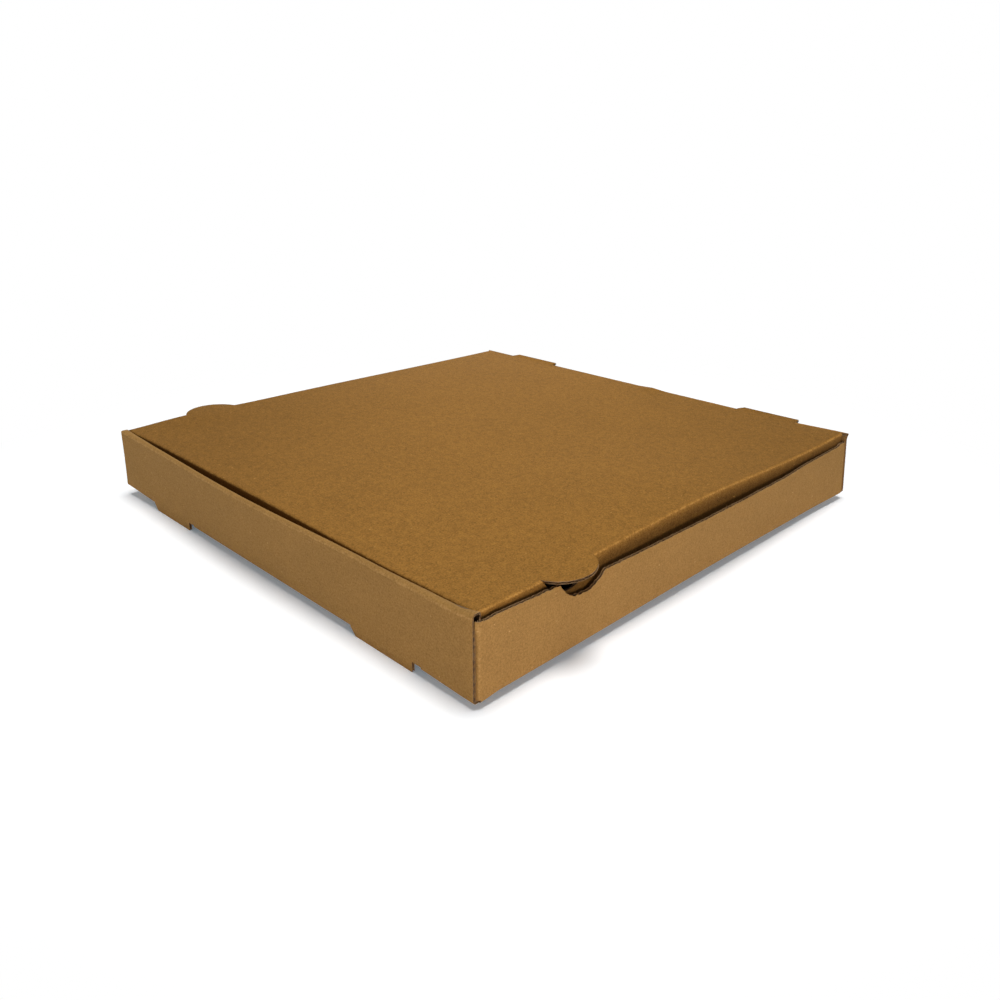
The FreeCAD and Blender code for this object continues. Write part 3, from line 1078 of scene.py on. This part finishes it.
@dataclass(frozen=True)
class StripFold:
    """Board whose folds run along X: its path lies in the plane of Y and Z.

    Tabs cut free before a fold can go straight down from their root, in the plane of their wall.
    """

    path: FoldPath
    straight_tab: tuple[float, float] | None = None
    tabs: tuple[tuple[float, float], ...] = ()
    # Painted shade: darker before the first fold, towards two corners, and on the papers shut in past a
    # flat length
    painted_shade: float = 0.0
    corner_painted_shade: float = 0.0
    corner_painted_shade_from: float = 50 * MM
    corner_painted_shade_reach: float = 260 * MM
    shut_shade_from: float = math.inf
    shut_painted_shade: float = 0.94

    def place(self, across: np.ndarray, along: np.ndarray, depth: np.ndarray) -> np.ndarray:
        """Place in space of points on the folded board."""
        plane = self.path.point(across, depth)
        if self.straight_tab is not None:
            root, drop = self.straight_tab
            slack = 2 * FLAT_TOLERANCE
            for left, right in self.tabs:
                on = ((along > left - slack) & (along < right + slack)
                      & (across < root) & (across > root - drop - slack))
                top = self.path.point(np.full(on.sum(), root), depth[on])
                plane[on] = top - np.outer(root - across[on], (0, 1))
        return np.stack([along, plane[:, 0], plane[:, 1]], axis=1)

    def wear(self, across: np.ndarray, along: np.ndarray) -> np.ndarray:
        """How much each point lies on a rubbed fold, from 0 to 1."""
        return self.path.wear(across)

    def tone(self, layer: Layer, across: np.ndarray, along: np.ndarray) -> np.ndarray:
        """Painted shade of a paper: darker before the first fold, towards two corners and where shut in,
        where shade falls.
        """
        fold_end = self.path.folds()[0][1]
        past_fold = np.maximum(across - fold_end, 0)
        slant = np.abs(along + past_fold - self.path.marks[-1] / 2)
        # painted shade towards two corners, where the light falls off
        light = 1 - self.corner_painted_shade * ease((slant - self.corner_painted_shade_from) / self.corner_painted_shade_reach)
        light *= 1 - self.painted_shade * ease((fold_end - across) / (2 * MM))
        # painted shade on the papers shut inside, where little light reaches
        if layer is not Layer.OUTER:
            light[across > self.shut_shade_from] *= 1 - self.shut_painted_shade
        return light


@dataclass(frozen=True)
class BandFold:
    """Upright band round a side of the box: a plan path, with a fold along its top or foot."""

    plan_path: FoldPath
    upright: FoldPath
    # painted shade, darkest towards the foot and fading up to the fold
    painted_shade: float = 0.0
    painted_shade_reach: float = 5.5 * MM

    def place(self, across: np.ndarray, along: np.ndarray, depth: np.ndarray) -> np.ndarray:
        """Place in space of points on the folded board."""
        section = self.upright.point(along, depth)
        plane = self.plan_path.point(across, section[:, 0])
        return np.stack([plane[:, 0], plane[:, 1], section[:, 1]], axis=1)

    def wear(self, across: np.ndarray, along: np.ndarray) -> np.ndarray:
        """How much each point lies on a rubbed fold, from 0 to 1."""
        return np.maximum(self.plan_path.wear(across), self.upright.wear(along))

    def tone(self, layer: Layer, across: np.ndarray, along: np.ndarray) -> np.ndarray:
        """Painted shade of a paper: darker before the upright's fold, most towards the flap's foot."""
        return 1 - self.painted_shade * ease((self.upright.folds()[0][1] - along) / self.painted_shade_reach)


@dataclass
class Region:
    """One flat region of board with its folds and the lines of its mesh."""

    cut: FlatCut
    fold: Fold
    across: np.ndarray
    along: np.ndarray
    flute_along: np.ndarray
    grain_step = 0.7

    def shell(self, layer: Layer, settle: Settle, number: int) -> Shell:
        """Skin of one paper over the region, whose number sets its grain apart."""
        across, along = self.across, self.along
        if layer is Layer.FLUTES:
            step = BOARD.pitch / BOARD.steps_per_flute
            low, high = self.cut.levels.min(), self.cut.levels.max()
            across = np.arange(math.ceil(low / step), math.floor(high / step) + 1) * step
            along = self.flute_along
        return lay(self.cut, self.fold, layer, across, along, settle, self.grain_step * number)


@dataclass
class Folded:
    """Part of the box made of regions of board, as one piece for each paper."""

    name: str
    regions: list[Region]
    settle: Settle
    papers: Papers

    def build(self) -> dict[Layer, bpy.types.Object]:
        """Make one piece for each paper."""
        made = {}
        for layer in Layer:
            shells = [region.shell(layer, self.settle, number)
                      for number, region in enumerate(self.regions, 1)]
            piece = join_shells(f"{self.name}_{layer.value}", shells, self.papers.of(layer))
            made[layer] = piece
            log.info("%s: %d faces", piece.name, len(piece.data.polygons))
        return made


@dataclass
class Tray:
    """Base, four walls, corner flaps, feet and locking tabs."""

    plan: BoxPlan
    papers: Papers
    roll_fold: float = 2.2 * MM
    corner_fold: float = 1.4 * MM
    front_short: float = 1.7 * MM
    side_drop: float = 3.6 * MM
    front_rise: float = 1.0 * MM
    front_rise_y: float = -118 * MM
    dip: float = 3.3 * MM
    rear_dip: float = 2.0 * MM
    dip_rear: float = 80 * MM
    dip_slope: float = 35 * MM
    rear_step: float = 1.0 * MM
    rear_step_y: float = 154 * MM
    edge_step: float = 1.1 * MM
    edge_gap: float = 0.4 * MM
    edge_jitter: float = 0.13 * MM
    flap_length: float = 60 * MM
    flap_drop: float = 7.5 * MM
    flap_taper: float = 8 * MM
    notch_radius: float = 18.3 * MM
    notch_depth: float = 10.1 * MM
    foot_length: float = 45.5 * MM
    foot_spacing: float = 207 * MM
    foot_shift: float = -2 * MM
    relief_length: float = 6 * MM
    relief_rise: float = 1.5 * MM
    lock_play: float = 0.75 * MM
    vent_low: float = 34.3 * MM

    def feet(self) -> tuple[tuple[float, float], ...]:
        """Left and right end of each foot."""
        return stretches(self.foot_shift, self.foot_spacing, self.foot_length)

    def strip(self) -> Region:
        """Rear wall, base and roll-over front wall as one strip."""
        plan = self.plan
        half, top = plan.half, plan.height
        inner = plan.roll_depth - half
        low = BOARD.thickness + plan.play
        rear_top = top - plan.crease_reach
        path = FoldPath([(half, rear_top), (half, 0), (-half, 0), (-half, top), (inner, top), (inner, 0)],
                        [plan.fold, plan.fold, self.roll_fold, self.roll_fold], (0.2, 0.2, 1.0, 0.0))
        front_foot = path.marks[4]
        inner_low = path.flat(4, top - low)
        lock_low = path.flat(4, top)
        right_side = self._strip_side(path, half - self.front_short, inner_low)
        end: Loop = []
        for left, right in reversed(self.feet()):
            end += [(inner_low, right - self.lock_play), (lock_low, right - self.lock_play),
                    (lock_low, left + self.lock_play), (inner_low, left + self.lock_play)]
        left_side = [(across, -along)
                     for across, along in reversed(self._strip_side(path, half, inner_low))]
        start: Loop = []
        vent_low = rear_top - self.vent_low
        for left, right in plan.vents():
            start += [(0, left - plan.vent_play), (vent_low, left - plan.vent_play),
                      (vent_low, right + plan.vent_play), (0, right + plan.vent_play)]
        outline = right_side + end + left_side + start
        holes = [self._foot_slot(path, left, right) for left, right in self.feet()]
        # painted shade inside the roll-over: its flutes and inner liner past the front wall's top are
        # painted near black
        fold = StripFold(path, (front_foot, plan.fold + plan.foot_drop), self.feet(),
                         shut_shade_from=float(path.marks[5]))
        return Region(FlatCut(outline, *holes), fold, path.lines(STRIP_GAP),
                      spaced(-half, half, PAPER_GAP), spaced(-half, half, FLUTE_GAP))

    def _strip_side(self, path: FoldPath, front: float, inner_low: float) -> Loop:
        """Right edge of the strip, from the rear wall's top to the inner panel's foot.

        Args:
            path: fold path of the strip.
            front: half of the front wall's length.
            inner_low: flat length of the inner panel's foot.

        Returns:
            The points of the edge.
        """
        half = self.plan.half
        side = half - self.plan.fold
        within = self.plan.within
        marks = path.marks
        return [(0, half), (marks[1], half), (marks[2], side), (marks[3], side), (marks[4], front),
                (marks[7], front), (marks[8], front),
                (path.flat(4, self.side_drop + BOARD.thickness), within), (inner_low, within)]

    def _foot_slot(self, path: FoldPath, left: float, right: float) -> Loop:
        """Hole that the die cuts round a foot, with the relief at its right end.

        Args:
            path: fold path of the strip.
            left: the foot's left end.
            right: the foot's right end.

        Returns:
            The hole's outline.
        """
        plan = self.plan
        root = float(path.marks[4])
        slot = path.flat(1, 2 * plan.half - plan.roll_depth - plan.play)
        far = right + self.relief_length
        rise = path.flat(2, self.relief_rise)
        return [(root, left - plan.kerf), (slot, left - plan.kerf), (slot, far), (root, far),
                (rise, far - self.relief_rise + plan.fold), (rise, right),
                (root - plan.fold - plan.foot_drop, right),
                (root - plan.fold - plan.foot_drop, left + plan.foot_drop),
                (root - plan.fold, left), (root, left)]

    def band(self, sign: int) -> Region:
        """Side wall with a corner flap at both ends.

        Args:
            sign: 1 for the right side, -1 for the left.

        Returns:
            The region.
        """
        plan = self.plan
        half, end = plan.half, plan.within
        flap_end = half - self.flap_length
        corners = [(flap_end, end), (half, end), (half, -end), (flap_end, -end)]
        if sign < 0:
            corners = [(-x, -y) for x, y in corners]
        plan_path = FoldPath(corners, [self.corner_fold, self.corner_fold], (0.45, 0.45))
        upright = FoldPath([(plan.seam, 0), (0, 0), (0, plan.height)], [plan.fold], (0.2,))
        floor = upright.flat(1, BOARD.thickness + plan.play)
        flap_top = upright.flat(1, plan.height - self.flap_drop)
        wall_top = upright.flat(1, plan.height - self.side_drop)
        low_corner = flap_top - self.flap_taper
        wall_start, wall_end = plan_path.marks[2], plan_path.marks[3]
        length = float(plan_path.marks[-1])
        drop_start, drop_end = plan_path.marks[1] - plan.kerf, plan_path.marks[4] + plan.kerf
        end_top, start_top = self._edge_at(-sign * end, wall_top), self._edge_at(sign * end, wall_top)
        outline: Loop = [(0, floor), (plan_path.marks[1], floor), (wall_start, floor), (wall_start, 0),
                         (wall_end, 0), (wall_end, floor), (length, floor), (length, low_corner),
                         (length - self.flap_taper, flap_top), (drop_end, flap_top), (drop_end, end_top)]
        outline += self._wall_top(plan_path, wall_top, sign)
        outline += [(drop_start, start_top), (drop_start, flap_top), (self.flap_taper, flap_top),
                    (0, low_corner)]
        fold = BandFold(plan_path, upright)
        along = np.concatenate([upright.lines(6 * MM, 5), [floor, flap_top]])
        flute_along = np.concatenate([upright.marks, spaced(0, wall_top, STRIP_GAP)])
        return Region(FlatCut(outline), fold, plan_path.lines(WALL_GAP), along, flute_along)

    def _wall_top(self, plan_path: FoldPath, wall_top: float, sign: int) -> Loop:
        """Top edge of a side wall from the band's end back to its start, with notch and dip.

        Args:
            plan_path: plan path of the band.
            wall_top: flat height of the wall's top where nothing is cut from it.
            sign: 1 for the right side, -1 for the left.

        Returns:
            Points of the edge, rough as the die leaves it.
        """
        plan = self.plan
        end = plan.within
        middle = wall_top - self.notch_depth + self.notch_radius
        ahead = self._rim(wall_top, middle)
        behind = self._rim(wall_top - self.dip, middle)
        rough = np.random.default_rng(7 + sign)
        edge = [(y, self._edge_at(y, wall_top)) for y in np.arange(1.0 * MM - end, end, self.edge_step)
                if y + self.edge_gap <= plan.notch_y - ahead or y - self.edge_gap > plan.notch_y + behind]
        edge += arc((plan.notch_y, middle), self.notch_radius,
                    -RIGHT_ANGLE - math.asin(ahead / self.notch_radius),
                    -RIGHT_ANGLE + math.asin(behind / self.notch_radius), 26)
        edge.sort()
        jitter = rough.normal(0, self.edge_jitter, len(edge))
        jitter[np.abs([y - plan.notch_y for y, _ in edge]) < self.notch_radius] *= 2
        points = [(self._band_flat(plan_path, y, sign), level + shift)
                  for (y, level), shift in zip(edge, jitter)]
        return sorted(points, reverse=True)

    def _rim(self, level: float, middle: float) -> float:
        """Half of the notch's width where it meets a level of the wall's top."""
        return math.sqrt(self.notch_radius ** 2 - (middle - level) ** 2)

    def _edge_at(self, y: float, wall_top: float) -> float:
        """Height of a side wall's top edge: it rises at the front and dips behind the notch."""
        if y < self.plan.notch_y:
            return wall_top + self.front_rise * float(ease((self.front_rise_y - y) / (40 * MM)))
        rising = ease((y - self.dip_rear) / self.dip_slope)
        last = ease((y - self.rear_step_y) / (2 * MM))
        dip = self.dip + (self.rear_dip - self.dip) * float(rising)
        return wall_top - dip + self.rear_step * float(last)

    def _band_flat(self, plan_path: FoldPath, y: float, sign: int) -> float:
        """Flat length round the band at a place along the side wall."""
        return plan_path.flat(1, self.plan.within - sign * y)

    def build(self) -> None:
        """Make the tray's pieces and let them ride on its body."""
        regions = [self.strip(), self.band(1), self.band(-1)]
        pieces = Folded("tray", regions, TraySet(self.plan), self.papers).build()
        for piece in pieces.values():
            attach(piece, "tray")
        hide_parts("tray")


@dataclass
class Lid:
    """Lid panel with tuck flap, side flaps, thumb tabs and rear tabs."""

    plan: BoxPlan
    papers: Papers
    tuck_lean: float = 1.55 * MM
    tuck_depth: float = 25 * MM
    tuck_inset: float = 12 * MM
    tuck_taper: float = 10 * MM
    flap_inset: float = 9 * MM
    flap_taper: float = 14 * MM
    flap_shoulder: float = 5 * MM
    fold_relief: float = 0.3 * MM
    relief_reach: float = 0.4 * MM
    # Painted shade on the tuck flap's face, on the side flaps' faces below their fold, and towards the
    # lid's left and right corners
    flap_painted_shade: float = 0.26
    side_flap_painted_shade: float = 0.55
    corner_painted_shade: float = 0.25
    tab_slant: float = 3 * MM

    def strip(self) -> Region:
        """Tuck flap and lid panel, with its thumb tabs and rear tabs."""
        plan = self.plan
        top = plan.height
        rear = plan.half - plan.crease_reach
        path = FoldPath([(plan.lid_front + self.tuck_lean, top - self.tuck_depth),
                         (plan.lid_front, top), (plan.tab_out, top)], [plan.fold])
        length = float(path.marks[-1])
        tuck = plan.lid_half - self.tuck_inset
        side = plan.lid_half - plan.fold
        short = side - self.fold_relief
        fold_start, fold_end = path.folds()[0]
        thumb = self._thumb(side)
        thumb_flat = [(path.flat(1, y - plan.lid_front), x) for x, y in thumb]
        rear_flat = path.flat(1, rear - plan.lid_front)
        crease_flat = path.flat(1, plan.half - plan.lid_front)
        right_side: Loop = [(0, tuck - self.tuck_taper), (self.tuck_taper, tuck), (fold_start, tuck),
                            (fold_start, short), (fold_end, short), (fold_end + self.relief_reach, side),
                            *thumb_flat, (rear_flat, side)]
        end: Loop = []
        for left, right in reversed(plan.vents()):
            end += [(rear_flat, right), (length, right), (length, left + self.tab_slant),
                    (crease_flat, left), (rear_flat, left)]
        left_side = [(across, -along) for across, along in reversed(right_side)]
        half = plan.lid_half
        over_thumb = spaced(half, plan.thumb_out, THUMB_GAP)
        along = np.concatenate([spaced(-half, half, PAPER_GAP), over_thumb, -over_thumb, HUMP_LINES])
        flute_along = np.concatenate([spaced(-half, half, FLUTE_GAP), [half + 4 * MM, -half - 4 * MM],
                                      HUMP_LINES])
        # painted shade on the tuck flap's face and towards the lid's left and right corners
        fold = StripFold(path, painted_shade=self.flap_painted_shade, corner_painted_shade=self.corner_painted_shade)
        return Region(FlatCut(right_side + end + left_side), fold, path.lines(STRIP_GAP), along,
                      flute_along)

    def _thumb(self, side: float) -> Loop:
        """Round edge of the right thumb tab, from front to rear, where it leaves the panel."""
        plan = self.plan
        centre_x = plan.thumb_out - plan.thumb_radius
        swing = math.acos((side - centre_x) / plan.thumb_radius)
        return arc((centre_x, plan.thumb_y), plan.thumb_radius, -swing, swing, 30)

    def side_flap(self, sign: int) -> Region:
        """Side flap with its fold and the round bite that the thumb tab leaves.

        Args:
            sign: 1 for the right side, -1 for the left.

        Returns:
            The region.
        """
        plan = self.plan
        half = plan.lid_half
        rear = plan.half - plan.crease_reach
        front = plan.lid_front + plan.play
        start, end = (rear, front) if sign > 0 else (front, rear)
        plan_path = FoldPath([(sign * half, start), (sign * half, end)], [])
        upright = FoldPath([(0, plan.lid_low), (0, plan.height), (plan.seam, plan.height)],
                           [plan.fold], (0.75,))
        outline_y = self._flap_outline(upright, front, rear)
        outline = [(abs(y - start), level) for y, level in outline_y]
        # painted shade on the side flap's face below its fold
        fold = BandFold(plan_path, upright, self.side_flap_painted_shade)
        along = upright.lines(5 * MM, 6)
        fold_start = float(upright.marks[1])
        flute_along = np.concatenate([upright.marks, spaced(0, fold_start, STRIP_GAP),
                                      spaced(fold_start - 3.2 * MM, fold_start, 0.8 * MM),
                                      [float(upright.marks[1:3].mean())]])
        return Region(FlatCut(outline), fold, spaced(0, rear - front, WALL_GAP), along, flute_along)

    def _flap_outline(self, upright: FoldPath, front: float, rear: float) -> Loop:
        """Outline of a side flap as (y, flat height) points.

        Args:
            upright: upright path of the flap.
            front: where the fold starts.
            rear: where the fold ends.

        Returns:
            The outline, from the front along the bottom and back along the top.
        """
        plan = self.plan
        shoulder = upright.flat(0, plan.height - self.flap_shoulder - plan.lid_low)
        flap_front = plan.lid_front + self.flap_inset + self.flap_taper
        flap_rear = plan.half - BOARD.thickness - self.flap_inset - self.flap_taper
        top = float(upright.marks[-1])
        fold_foot = float(upright.marks[1])
        radius = plan.thumb_radius + plan.kerf
        beyond = radius - plan.thumb_reach - plan.kerf
        level_of_centre = fold_foot + plan.fold + beyond
        half_at_fold = math.sqrt(radius ** 2 - (beyond + plan.fold) ** 2)
        half_at_top = math.sqrt(radius ** 2 - (beyond - plan.fold) ** 2)
        swing = math.asin(half_at_fold / radius)
        bite = arc((plan.thumb_y, level_of_centre), radius, -RIGHT_ANGLE + swing,
                   -RIGHT_ANGLE - swing, 28)
        turns = np.linspace(0, RIGHT_ANGLE, 13)
        levels = [shoulder * (1 - math.sin(turn)) for turn in turns]
        front_end = [(flap_front - (flap_front - front) * math.cos(turn), level)
                     for turn, level in zip(turns, levels)]
        rear_end = [(flap_rear + (rear - flap_rear) * math.cos(turn), level)
                    for turn, level in zip(turns[::-1], levels[::-1])]
        return [*front_end, *rear_end, (rear, top), (plan.thumb_y + half_at_top, top), *bite,
                (plan.thumb_y - half_at_top, top), (front, top)]

    def build(self) -> None:
        """Make the lid's pieces and let them ride on its body."""
        regions = [self.strip(), self.side_flap(1), self.side_flap(-1)]
        pieces = Folded("lid", regions, LidSet(self.plan), self.papers).build()
        for piece in pieces.values():
            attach(piece, "lid")
        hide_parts("lid")


@dataclass
class RearCrease:
    """Crease between the rear wall and the lid, which bends as the lid turns."""

    plan: BoxPlan
    papers: Papers
    free: float = 0.2 * MM
    square_from: float = 0.6

    def path(self) -> FoldPath:
        """Path from the lid round the crease and down to the rear wall."""
        plan = self.plan
        reach = plan.crease_reach
        return FoldPath([(plan.half - reach, plan.height), (plan.half, plan.height),
                         (plan.half, plan.height - reach)], [plan.fold])

    def region(self, left: float, right: float) -> Region:
        """One stretch of the crease between two cuts.

        Args:
            left: left end along the wall.
            right: right end along the wall.

        Returns:
            The region.
        """
        plan = self.plan
        path = self.path()
        length = float(path.marks[-1])
        bend = float(path.marks[1])
        at_lid = plan.lid_half - plan.fold
        at_bend = plan.half - plan.fold
        square = length * self.square_from
        outline: Loop = [(0, min(right, at_lid)), (bend, min(right, at_bend)), (square, right),
                         (length, right), (length, left), (square, left),
                         (bend, max(left, -at_bend)), (0, max(left, -at_lid))]
        along = np.concatenate([spaced(left, right, PAPER_GAP), HUMP_LINES])
        return Region(FlatCut(outline), StripFold(path), path.lines(1.2 * MM), along, along)

    def settle(self, places: np.ndarray) -> np.ndarray:
        """Follow the lid near the lid and the tray near the tray."""
        plan = self.plan
        lid = LidSet(plan)(places) - places
        tray = TraySet(plan)(places) - places
        drop = plan.height - places[:, 2]
        share = 1 - ease((drop - self.free) / (plan.crease_reach - self.free))
        return places + lid * share[:, None] + tray * (1 - share[:, None])

    def build(self) -> None:
        """Make the crease's pieces and bend them between tray and lid."""
        plan = self.plan
        ends = [-plan.half]
        for left, right in plan.vents():
            ends += [left - plan.vent_play, right + plan.vent_play]
        ends.append(plan.half)
        regions = [self.region(left, right) for left, right in zip(ends[::2], ends[1::2])]
        pieces = Folded("rear_crease", regions, self.settle, self.papers).build()
        for piece in pieces.values():
            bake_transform(piece)


@dataclass(frozen=True)
class CameraView:
    """Camera that the box was seen with."""

    place: tuple[float, float, float] = (0.3933, -0.3800, 0.2216)
    yaw: float = math.radians(135.03)
    pitch: float = math.radians(-17.61)
    roll: float = math.radians(0.33)
    lens: float = 32.27
    sensor: float = 36.0
    shift_up: float = -0.08

    def build(self) -> bpy.types.Object:
        """Add the camera and make it the scene's."""
        ahead = Vector((math.cos(self.pitch) * math.cos(self.yaw),
                        math.cos(self.pitch) * math.sin(self.yaw), math.sin(self.pitch)))
        level = Vector((math.sin(self.yaw), -math.cos(self.yaw), 0))
        upright = level.cross(ahead)
        right = math.cos(self.roll) * level + math.sin(self.roll) * upright
        up = math.cos(self.roll) * upright - math.sin(self.roll) * level
        turned = Matrix((right, up, -ahead)).transposed()
        data = bpy.data.cameras.new("camera")
        data.lens = self.lens
        data.sensor_width = self.sensor
        data.sensor_fit = "HORIZONTAL"
        data.shift_y = self.shift_up
        data.clip_start = 0.01
        camera = bpy.data.objects.new("camera", data)
        camera.matrix_world = Matrix.Translation(self.place) @ turned.to_4x4()
        bpy.context.scene.collection.objects.link(camera)
        bpy.context.scene.camera = camera
        return camera


@dataclass(frozen=True)
class SoftLamp:
    """Wide, low soft lamp that points at the box."""

    name: str
    place: tuple[float, float, float]
    width: float
    power: float
    colour: tuple[float, float, float] = (1.0, 1.0, 1.0)
    height: float = 0.08

    def build(self, target: Vector) -> bpy.types.Object:
        """Add the lamp, turned to its target."""
        data = bpy.data.lights.new(self.name, "AREA")
        data.shape = "RECTANGLE"
        data.size = self.width
        data.size_y = self.height
        data.energy = self.power
        data.color = self.colour
        lamp = bpy.data.objects.new(self.name, data)
        lamp.location = self.place
        lamp.rotation_euler = (target - Vector(self.place)).to_track_quat("-Z", "Y").to_euler()
        lamp.visible_camera = False
        bpy.context.scene.collection.objects.link(lamp)
        return lamp


@dataclass(frozen=True)
class OverheadSun:
    """Broad soft light from above, a little behind the box."""

    towards: tuple[float, float, float] = (0.015, 0.05, 1.0)
    strength: float = 2.45
    spread: float = math.radians(24)

    def build(self) -> bpy.types.Object:
        """Add the light."""
        data = bpy.data.lights.new("overhead", "SUN")
        data.energy = self.strength
        data.angle = self.spread
        sun = bpy.data.objects.new("overhead", data)
        sun.rotation_euler = (-Vector(self.towards)).to_track_quat("-Z", "Y").to_euler()
        bpy.context.scene.collection.objects.link(sun)
        return sun


@dataclass(frozen=True)
class Studio:
    """Plain pale floor, soft lamps and white surroundings."""

    floor_level: float
    floor_reach: float = 30.0
    floor_albedo: float = 0.96
    floor_lift: float = 0.14
    floor_tint: tuple[float, float, float] = (0.76, 0.96, 1.12)
    under_from: float = 150 * MM
    under_by: float = 160 * MM
    clear_from: float = 250 * MM
    clear_by: float = 380 * MM
    zenith: float = 0.10
    horizon: float = 0.45
    target: tuple[float, float, float] = (0, 0, 50 * MM)
    lamps: tuple[SoftLamp, ...] = (
        SoftLamp("lamp_corner", (0.75, -0.42, 0.05), 0.30, 1.10, (1.0, 0.60, 0.46)),
        SoftLamp("lamp_right", (0.70, -0.30, 0.05), 0.40, 0.88, (0.86, 1.0, 1.08)),
        SoftLamp("lamp_front", (-0.30, -0.95, 0.05), 0.50, 0.25, (0.90, 1.0, 0.95)),
        SoftLamp("lamp_back", (-0.80, 0.70, 0.08), 0.60, 1.80, (1.0, 0.98, 0.95)),
    )

    def build(self) -> None:
        """Add the floor, the lamps and the world."""
        self._floor()
        OverheadSun().build()
        for lamp in self.lamps:
            lamp.build(Vector(self.target))
        self._world()
        bpy.context.scene.view_settings.view_transform = "Standard"

    def _floor(self) -> None:
        """Wide flat floor, which is no part of the box."""
        mesh = bpy.data.meshes.new("floor")
        reach = self.floor_reach
        corners = [(-reach, -reach), (reach, -reach), (reach, reach), (-reach, reach)]
        mesh.from_pydata([(x, y, self.floor_level) for x, y in corners], [], [(0, 1, 2, 3)])
        mesh.materials.append(self._floor_paper())
        floor = bpy.data.objects.new("floor", mesh)
        bpy.context.scene.collection.objects.link(floor)
        floor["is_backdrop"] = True

    def _floor_paper(self) -> bpy.types.Material:
        """White paper that keeps the shadow near the box and is pure white away from it.

        Returns:
            The material. To the camera it is a little lighter than it is lit, but not under the box.
        """
        material = bpy.data.materials.new("floor_white")
        nodes = Nodes(material)
        direct = nodes.direct()
        place = nodes.add("TexCoord").outputs["Object"]
        parts = nodes.add("SeparateXYZ")
        nodes.wire(place, parts.inputs[0])
        edge = nodes.math("MAXIMUM", nodes.math("ABSOLUTE", parts.outputs["X"]),
                          nodes.math("ABSOLUTE", parts.outputs["Y"]))
        lift = nodes.span(edge, self.under_from, self.under_by, 0.0, self.floor_lift)
        paper = nodes.add("BsdfDiffuse")
        paper.inputs["Color"].default_value = rgba([self.floor_albedo] * 3)
        glow = nodes.add("Emission")
        glow.inputs["Color"].default_value = rgba(self.floor_tint)
        nodes.wire(nodes.math("MULTIPLY", direct, lift), glow.inputs["Strength"])
        both = nodes.add("AddShader")
        nodes.wire(paper.outputs[0], both.inputs[0])
        nodes.wire(glow.outputs[0], both.inputs[1])
        length = nodes.add("VectorMath", operation="LENGTH")
        nodes.wire(place, length.inputs[0])
        away = nodes.span(length.outputs["Value"], self.clear_from, self.clear_by)
        around = nodes.add("MixShader")
        nodes.wire(nodes.math("MULTIPLY", away, direct), around.inputs[0])
        nodes.wire(both.outputs[0], around.inputs[1])
        nodes.wire(nodes.add("Emission").outputs[0], around.inputs[2])
        nodes.surface(around.outputs[0])
        return material

    def _world(self) -> None:
        """World that lights softly, most from its sides, and is white to the camera."""
        world = bpy.data.worlds.new("studio")
        nodes = Nodes(world)
        parts = nodes.add("SeparateXYZ")
        nodes.wire(nodes.add("TexCoord").outputs["Generated"], parts.inputs[0])
        soft = nodes.span(parts.outputs["Z"], 0.25, 0.65, self.horizon, self.zenith)
        whiter = nodes.math("MULTIPLY", nodes.math("SUBTRACT", 1.0, soft), nodes.direct())
        background = nodes.add("Background")
        background.inputs["Color"].default_value = rgba((1, 1, 1))
        nodes.wire(nodes.math("ADD", soft, whiter), background.inputs["Strength"])
        nodes.surface(background.outputs[0], "OutputWorld")
        bpy.context.scene.world = world


KRAFT_MEDIUM = CutEdgeFinish("kraft_medium", (0.24, 0.15, 0.075), (0.11, 0.065, 0.032))
KRAFT_CUT = CutEdgeFinish("kraft_cut_edge", (0.33, 0.205, 0.10), (0.16, 0.095, 0.042))
TRAY_KRAFT = KraftFinish("tray_kraft_outside", (0.310, 0.170, 0.050), (0.56, 0.33, 0.12), grain=0.65)
TRAY_INSIDE = KraftFinish("tray_kraft_inside", (0.33, 0.18, 0.060), (0.46, 0.28, 0.12), grain=0.5)
LID_KRAFT = KraftFinish("lid_kraft_outside", (0.286, 0.135, 0.025), (0.54, 0.29, 0.08), grain=1.15,
                        speckle=1.0, blotches=0.58)
LID_INSIDE = KraftFinish("lid_kraft_inside", (0.33, 0.18, 0.060), (0.46, 0.28, 0.12))


def main() -> None:
    """Build the box, its surroundings and the camera, and report each piece."""
    plan = BoxPlan.from_frame()
    medium = KRAFT_MEDIUM.build()
    cut = KRAFT_CUT.build()
    tray_papers = Papers(TRAY_KRAFT.build(), TRAY_INSIDE.build(), medium, cut)
    lid_papers = Papers(LID_KRAFT.build(), LID_INSIDE.build(), medium, cut)
    Tray(plan, tray_papers).build()
    Lid(plan, lid_papers).build()
    RearCrease(plan, lid_papers).build()
    Studio(floor_level=-plan.foot_drop).build()
    CameraView().build()
    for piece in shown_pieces():
        log.info("piece %s", piece.name)


if __name__ == "__main__":
    logging.basicConfig(level=logging.INFO, format="%(name)s: %(message)s")
    main()
